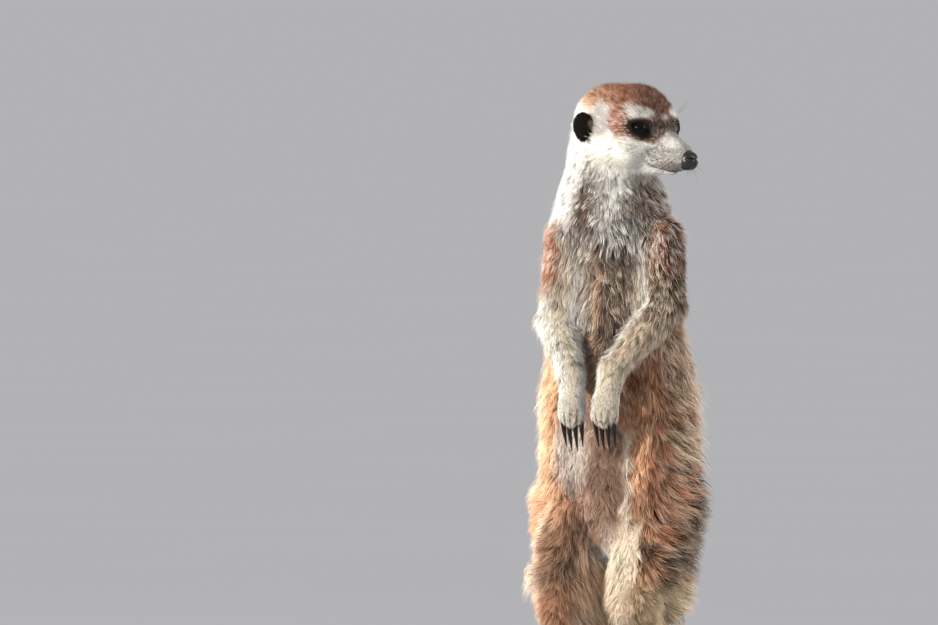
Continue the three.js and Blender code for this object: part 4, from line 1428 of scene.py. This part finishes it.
def makeStrandTree():
    # for claws and whiskers: each edge of the given mesh becomes a tapered strand; sag says how its tip bends
    tree = bpy.data.node_groups.new("strands", "GeometryNodeTree")
    for label, kind, value in (("Paths", "NodeSocketGeometry", None),
                               ("Root Radius", "NodeSocketFloat", 0.001),
                               ("Tip Share", "NodeSocketFloat", 0.1), ("Fullness", "NodeSocketFloat", 1.0),
                               ("Narrowness", "NodeSocketFloat", 1.0), ("Steps", "NodeSocketInt", 8),
                               ("Sides", "NodeSocketInt", 8), ("Finish", "NodeSocketMaterial", None)):
        socket = tree.interface.new_socket(name=label, in_out="INPUT", socket_type=kind)
        if value is not None:
            socket.default_value = value
    tree.interface.new_socket(name="Strands", in_out="OUTPUT", socket_type="NodeSocketGeometry")
    given, result = tree.nodes.new("NodeGroupInput"), tree.nodes.new("NodeGroupOutput")
    curve = nodeIn(tree, "GeometryNodeMeshToCurve")
    even = nodeIn(tree, "GeometryNodeResampleCurve")
    along = nodeIn(tree, "GeometryNodeSplineParameter")
    sag = nodeIn(tree, "GeometryNodeInputNamedAttribute", {"Name": "sag"}, data_type="FLOAT_VECTOR")
    squared = nodeIn(tree, "ShaderNodeMath", {1: 2.0}, operation="POWER")
    bend = nodeIn(tree, "ShaderNodeVectorMath", operation="SCALE")
    moved = nodeIn(tree, "GeometryNodeSetPosition")
    turned = nodeIn(tree, "GeometryNodeSetCurveNormal")
    turned.mode = "FREE"
    fall = nodeIn(tree, "ShaderNodeMath", operation="POWER")
    taper = nodeIn(tree, "ShaderNodeMapRange")
    ring = nodeIn(tree, "GeometryNodeCurvePrimitiveCircle", {"Radius": 1.0})
    oval = nodeIn(tree, "ShaderNodeCombineXYZ", {"Y": 1.0, "Z": 1.0})
    pressed = nodeIn(tree, "GeometryNodeTransform")
    skinned = nodeIn(tree, "GeometryNodeCurveToMesh", {"Fill Caps": True})
    rounded = nodeIn(tree, "GeometryNodeSetShadeSmooth")
    realized = nodeIn(tree, "GeometryNodeRealizeInstances")
    finished = nodeIn(tree, "GeometryNodeSetMaterial")
    wire(tree, (given, "Paths", curve, "Mesh"), (curve, 0, even, "Curve"),
         (given, "Steps", even, "Count"), (along, "Factor", squared, 0), (sag, "Attribute", bend, 0),
         (squared, 0, bend, "Scale"), (even, 0, moved, "Geometry"), (bend, 0, moved, "Offset"),
         (moved, 0, turned, "Curve"), (sag, "Attribute", turned, "Normal"), (along, "Factor", fall, 0),
         (given, "Fullness", fall, 1), (fall, 0, taper, "Value"), (given, "Root Radius", taper, "To Min"),
         (given, "Sides", ring, "Resolution"), (ring, "Curve", pressed, "Geometry"),
         (given, "Narrowness", oval, "X"), (oval, 0, pressed, "Scale"))
    tipRadius = nodeIn(tree, "ShaderNodeMath", operation="MULTIPLY")
    wire(tree, (given, "Root Radius", tipRadius, 0), (given, "Tip Share", tipRadius, 1),
         (tipRadius, 0, taper, "To Max"), (taper, 0, skinned, "Scale"), (turned, 0, skinned, "Curve"),
         (pressed, 0, skinned, "Profile Curve"), (skinned, 0, rounded, "Geometry"),
         (rounded, 0, realized, "Geometry"), (realized, 0, finished, "Geometry"),
         (given, "Finish", finished, "Material"), (finished, 0, result, "Strands"))
    return tree


strandTree = makeStrandTree()


def growStrands(name, starts, ends, sags, inputs):
    paths = bpy.data.meshes.new(name)
    places = placed(np.stack([starts, ends], 1).reshape(-1, 3))
    paths.from_pydata(places.tolist(), [(2 * i, 2 * i + 1) for i in range(len(starts))], [])
    layer = paths.attributes.new("sag", "FLOAT_VECTOR", "POINT")
    sagOfEnds = np.repeat(np.asarray(sags) / 1000, 2, axis=0)
    layer.data.foreach_set("vector", sagOfEnds.astype(np.float32).ravel())
    piece = linked(name, paths)
    grower = piece.modifiers.new("strands", "NODES")
    grower.node_group = strandTree
    for item in strandTree.interface.items_tree:
        if item.in_out == "INPUT" and item.name in inputs:
            grower[item.identifier] = inputs[item.name]
    seen = piece.evaluated_get(bpy.context.evaluated_depsgraph_get())
    mesh = bpy.data.meshes.new_from_object(seen)
    piece.modifiers.remove(grower)
    piece.data = mesh
    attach(piece, "root")
    return piece


claws = {"hand": {"length": 12.2, "hidden": 3.6, "radius": 1.35, "bend": 0.13},
         "foot": {"length": 7.6, "hidden": 2, "radius": 1.2, "bend": 0.2},
         "tones": {6: (0.008, 0.007, 0.007, 1), 7: (0.016, 0.014, 0.013, 1)}, "roughness": 0.3}
clawNames = ("outer", "middle_outer", "middle_inner", "inner")


def strandMaterial(name, looks):
    material, tree, shader = newMaterial(name, Roughness=looks["roughness"], Specular_IOR_Level=0.2)
    place = nodeIn(tree, "ShaderNodeTexCoord")
    squash = nodeIn(tree, "ShaderNodeMapping", {"Scale": (1.0, 1.0, 0.12)})
    grain = nodeIn(tree, "ShaderNodeTexNoise", {"Scale": 1500.0, "Detail": 3.0})
    tint = nodeIn(tree, "ShaderNodeMix", looks["tones"], data_type="RGBA")
    relief = nodeIn(tree, "ShaderNodeBump", {"Strength": 0.3, "Distance": 0.0002})
    wire(tree, (place, "Object", squash, "Vector"), (squash, 0, grain, "Vector"),
         (grain, "Fac", tint, "Factor"), (tint, 2, shader, "Base Color"),
         (grain, "Fac", relief, "Height"), (relief, 0, shader, "Normal"))
    return material


horn = strandMaterial("clawHorn", claws)
for side in sides:
    for limb, digitOf in (("hand", fingerOf), ("foot", toeOf)):
        size = claws[limb]
        starts, ends, sags = [], [], []
        for place in digits:
            tip = digitOf(side, place)[1]
            if limb == "hand":
                root, way, curl = tip + (0, -1.6, 2.2), unit(np.array([-place * 0.03, 0.22, -1])), backwards
            else:
                root, way, curl = tip + (0, -2.2, 0.4), unit(np.array([place * 0.05, -1, 0])), -up
            length = size["length"] + size["hidden"]
            starts.append(root)
            ends.append(root + way * length)
            sags.append(curl * size["bend"] * length)
        inputs = {"Root Radius": size["radius"] / 1000, "Tip Share": 0.1, "Fullness": 1.7, "Narrowness": 1.1,
                  "Steps": 12, "Sides": 12, "Finish": horn}
        piece = growStrands(limb + "_claws_" + sideName[side], starts, ends, sags, inputs)
        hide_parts(*[f"{limb}_claw_{name}_{sideName[side]}" for name in clawNames])
print("claws done")


whiskers = {"perSide": 14, "radius": 0.11, "length": (7, 15),
            "browAndCheek": ((19, 15, 6, 11), (17, 16, 6.5, 9), (3, 20, -14, 9), (5, 20, -16, 10)),
            "tones": {6: (0.012, 0.01, 0.009, 1), 7: (0.05, 0.04, 0.034, 1)}, "roughness": 0.4}


def makeWhiskers():
    draw = np.random.default_rng(7)
    dark = strandMaterial("whisker", whiskers)
    starts, ends, sags = [], [], []
    for side in sides:
        for i in range(whiskers["perSide"]):
            row, column = i % 3, i // 3
            root = onHead(35.2 - 2.1 * column, side * (4.2 + 0.75 * column), -16.6 - 1.9 * row + 0.2 * column)
            out = unit(np.array([0.35 - 0.22 * column, side * (0.75 + 0.05 * column), -0.25 - 0.12 * row])
                       + draw.normal(size=3) * 0.12)
            length = draw.uniform(*whiskers["length"]) * (0.75 + 0.09 * column)
            starts.append(root)
            ends.append(root + (out @ headAxes) * length)
            sags.append((np.array([-0.25, 0, -0.2]) @ headAxes) * length * 0.6)
        for forward, wide, high, length in whiskers["browAndCheek"]:
            root = onHead(forward, side * wide, high)
            away = unit(np.array([0.1, side * 0.75, 0.5 if high > 0 else -0.4]))
            starts.append(root)
            ends.append(root + (away @ headAxes) * length)
            sags.append((np.array([-0.5, 0, 0.1]) @ headAxes) * length * 0.6)
    inputs = {"Root Radius": whiskers["radius"] / 1000, "Tip Share": 0.15, "Fullness": 1.0, "Narrowness": 1.0,
              "Steps": 9, "Sides": 4, "Finish": dark}
    growStrands("whiskers", starts, ends, sags, inputs)


makeWhiskers()
print("whiskers done")

# the skin stands for every node of flesh
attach(skin, "root")
flesh = ["head", "neck", "chest", "belly", "tail_base", "tail_middle", "tail_tip"]
flesh += [part + "_" + sideName[side] for side in sides
          for part in ("ear", "hand", "forearm", "upper_arm", "foot", "shank", "thigh")]
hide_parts(*flesh)


# Angles are in degrees and lengths in metres. An azimuth of 0 is straight in front of the body, and one of
# 90 is on its left.
studio = {"floorTone": (0.535, 0.549, 0.581, 1), "skyTone": (0.97, 0.97, 1.0, 1), "skyStrength": 0.46,
          "keyEnergy": 5.2, "keyTone": (1.0, 0.945, 0.86), "keySpread": 3, "keyAzimuth": -42, "keyHeight": 14,
          "floorSize": 600, "floorMottle": 0.97, "keyDistance": 3, "lampDistance": 1.6, "lampSpread": 50,
          "lampAim": 0.19}
lamps = {"rim": {"azimuth": -112, "height": 16, "size": 0.5, "energy": 3.3, "tone": (1.0, 0.94, 0.85)},
         "fill": {"azimuth": 88, "height": 22, "size": 0.8, "energy": 1.65, "tone": (1.0, 0.95, 0.9)}}
viewing = {"azimuth": 17, "distance": 6.0, "height": 0.311, "aimLeft": 0.07325, "aimHeight": 0.20275,
           "width": 0.469}
bodyAxis = placed(np.array([0, 0, 0]))


def makeFloor():
    bpy.ops.mesh.primitive_plane_add(size=studio["floorSize"], location=(0, 0, 0))
    floor = bpy.context.object
    floor.name = "floor"
    material, tree, shader = newMaterial("floorPaint", Roughness=0.9, Specular_IOR_Level=0.0)
    place = nodeIn(tree, "ShaderNodeTexCoord")
    cloud = nodeIn(tree, "ShaderNodeTexNoise", {"Scale": 3.0, "Detail": 4.0})
    low = tuple(studio["floorMottle"] * c for c in studio["floorTone"][:3]) + (1,)
    tint = nodeIn(tree, "ShaderNodeMix", {6: low, 7: studio["floorTone"]}, data_type="RGBA")
    wire(tree, (place, "Object", cloud, "Vector"), (cloud, "Fac", tint, "Factor"),
         (tint, 2, shader, "Base Color"))
    floor.data.materials.append(material)


def towards(azimuth, height):
    a, h = math.radians(azimuth), math.radians(height)
    return np.array([math.sin(a) * math.cos(h), -math.cos(a) * math.cos(h), math.sin(h)])


def pointAt(thing, place, target):
    thing.location = Vector(place)
    thing.rotation_euler = (Vector(target) - Vector(place)).to_track_quat("-Z", "Y").to_euler()


def addLamp(name, given):
    lamp = bpy.data.lights.new(name, "AREA")
    lamp.size, lamp.energy, lamp.color = given["size"], given["energy"], given["tone"]
    lamp.spread = math.radians(studio["lampSpread"])
    target = bodyAxis + (0, 0, studio["lampAim"])
    away = towards(given["azimuth"], given["height"]) * studio["lampDistance"]
    pointAt(linked(name, lamp), target + away, target)


def makeStudio():
    makeFloor()
    world = bpy.data.worlds.new("studio")
    bpy.context.scene.world = world
    world.use_nodes = True
    sky = world.node_tree.nodes["Background"]
    sky.inputs["Color"].default_value = studio["skyTone"]
    sky.inputs["Strength"].default_value = studio["skyStrength"]
    lamp = bpy.data.lights.new("key", "SUN")
    lamp.angle, lamp.energy = math.radians(studio["keySpread"]), studio["keyEnergy"]
    lamp.color = studio["keyTone"]
    away = towards(studio["keyAzimuth"], studio["keyHeight"]) * studio["keyDistance"]
    pointAt(linked("key", lamp), bodyAxis + away, bodyAxis)
    for name, given in lamps.items():
        addLamp(name, given)


def makeCamera():
    lens = bpy.data.cameras.new("camera")
    lens.sensor_width = 36
    lens.lens = 36 * viewing["distance"] / viewing["width"]
    lens.clip_end = 100
    camera = linked("camera", lens)
    a = math.radians(viewing["azimuth"])
    right = np.array([math.cos(a), math.sin(a), 0])
    stand = bodyAxis + towards(viewing["azimuth"], 0) * viewing["distance"] + (0, 0, viewing["height"])
    aim = bodyAxis - right * viewing["aimLeft"] + (0, 0, viewing["aimHeight"])
    pointAt(camera, stand, aim)
    bpy.context.scene.camera = camera


makeStudio()
makeCamera()
bpy.context.scene.view_settings.view_transform = "Standard"
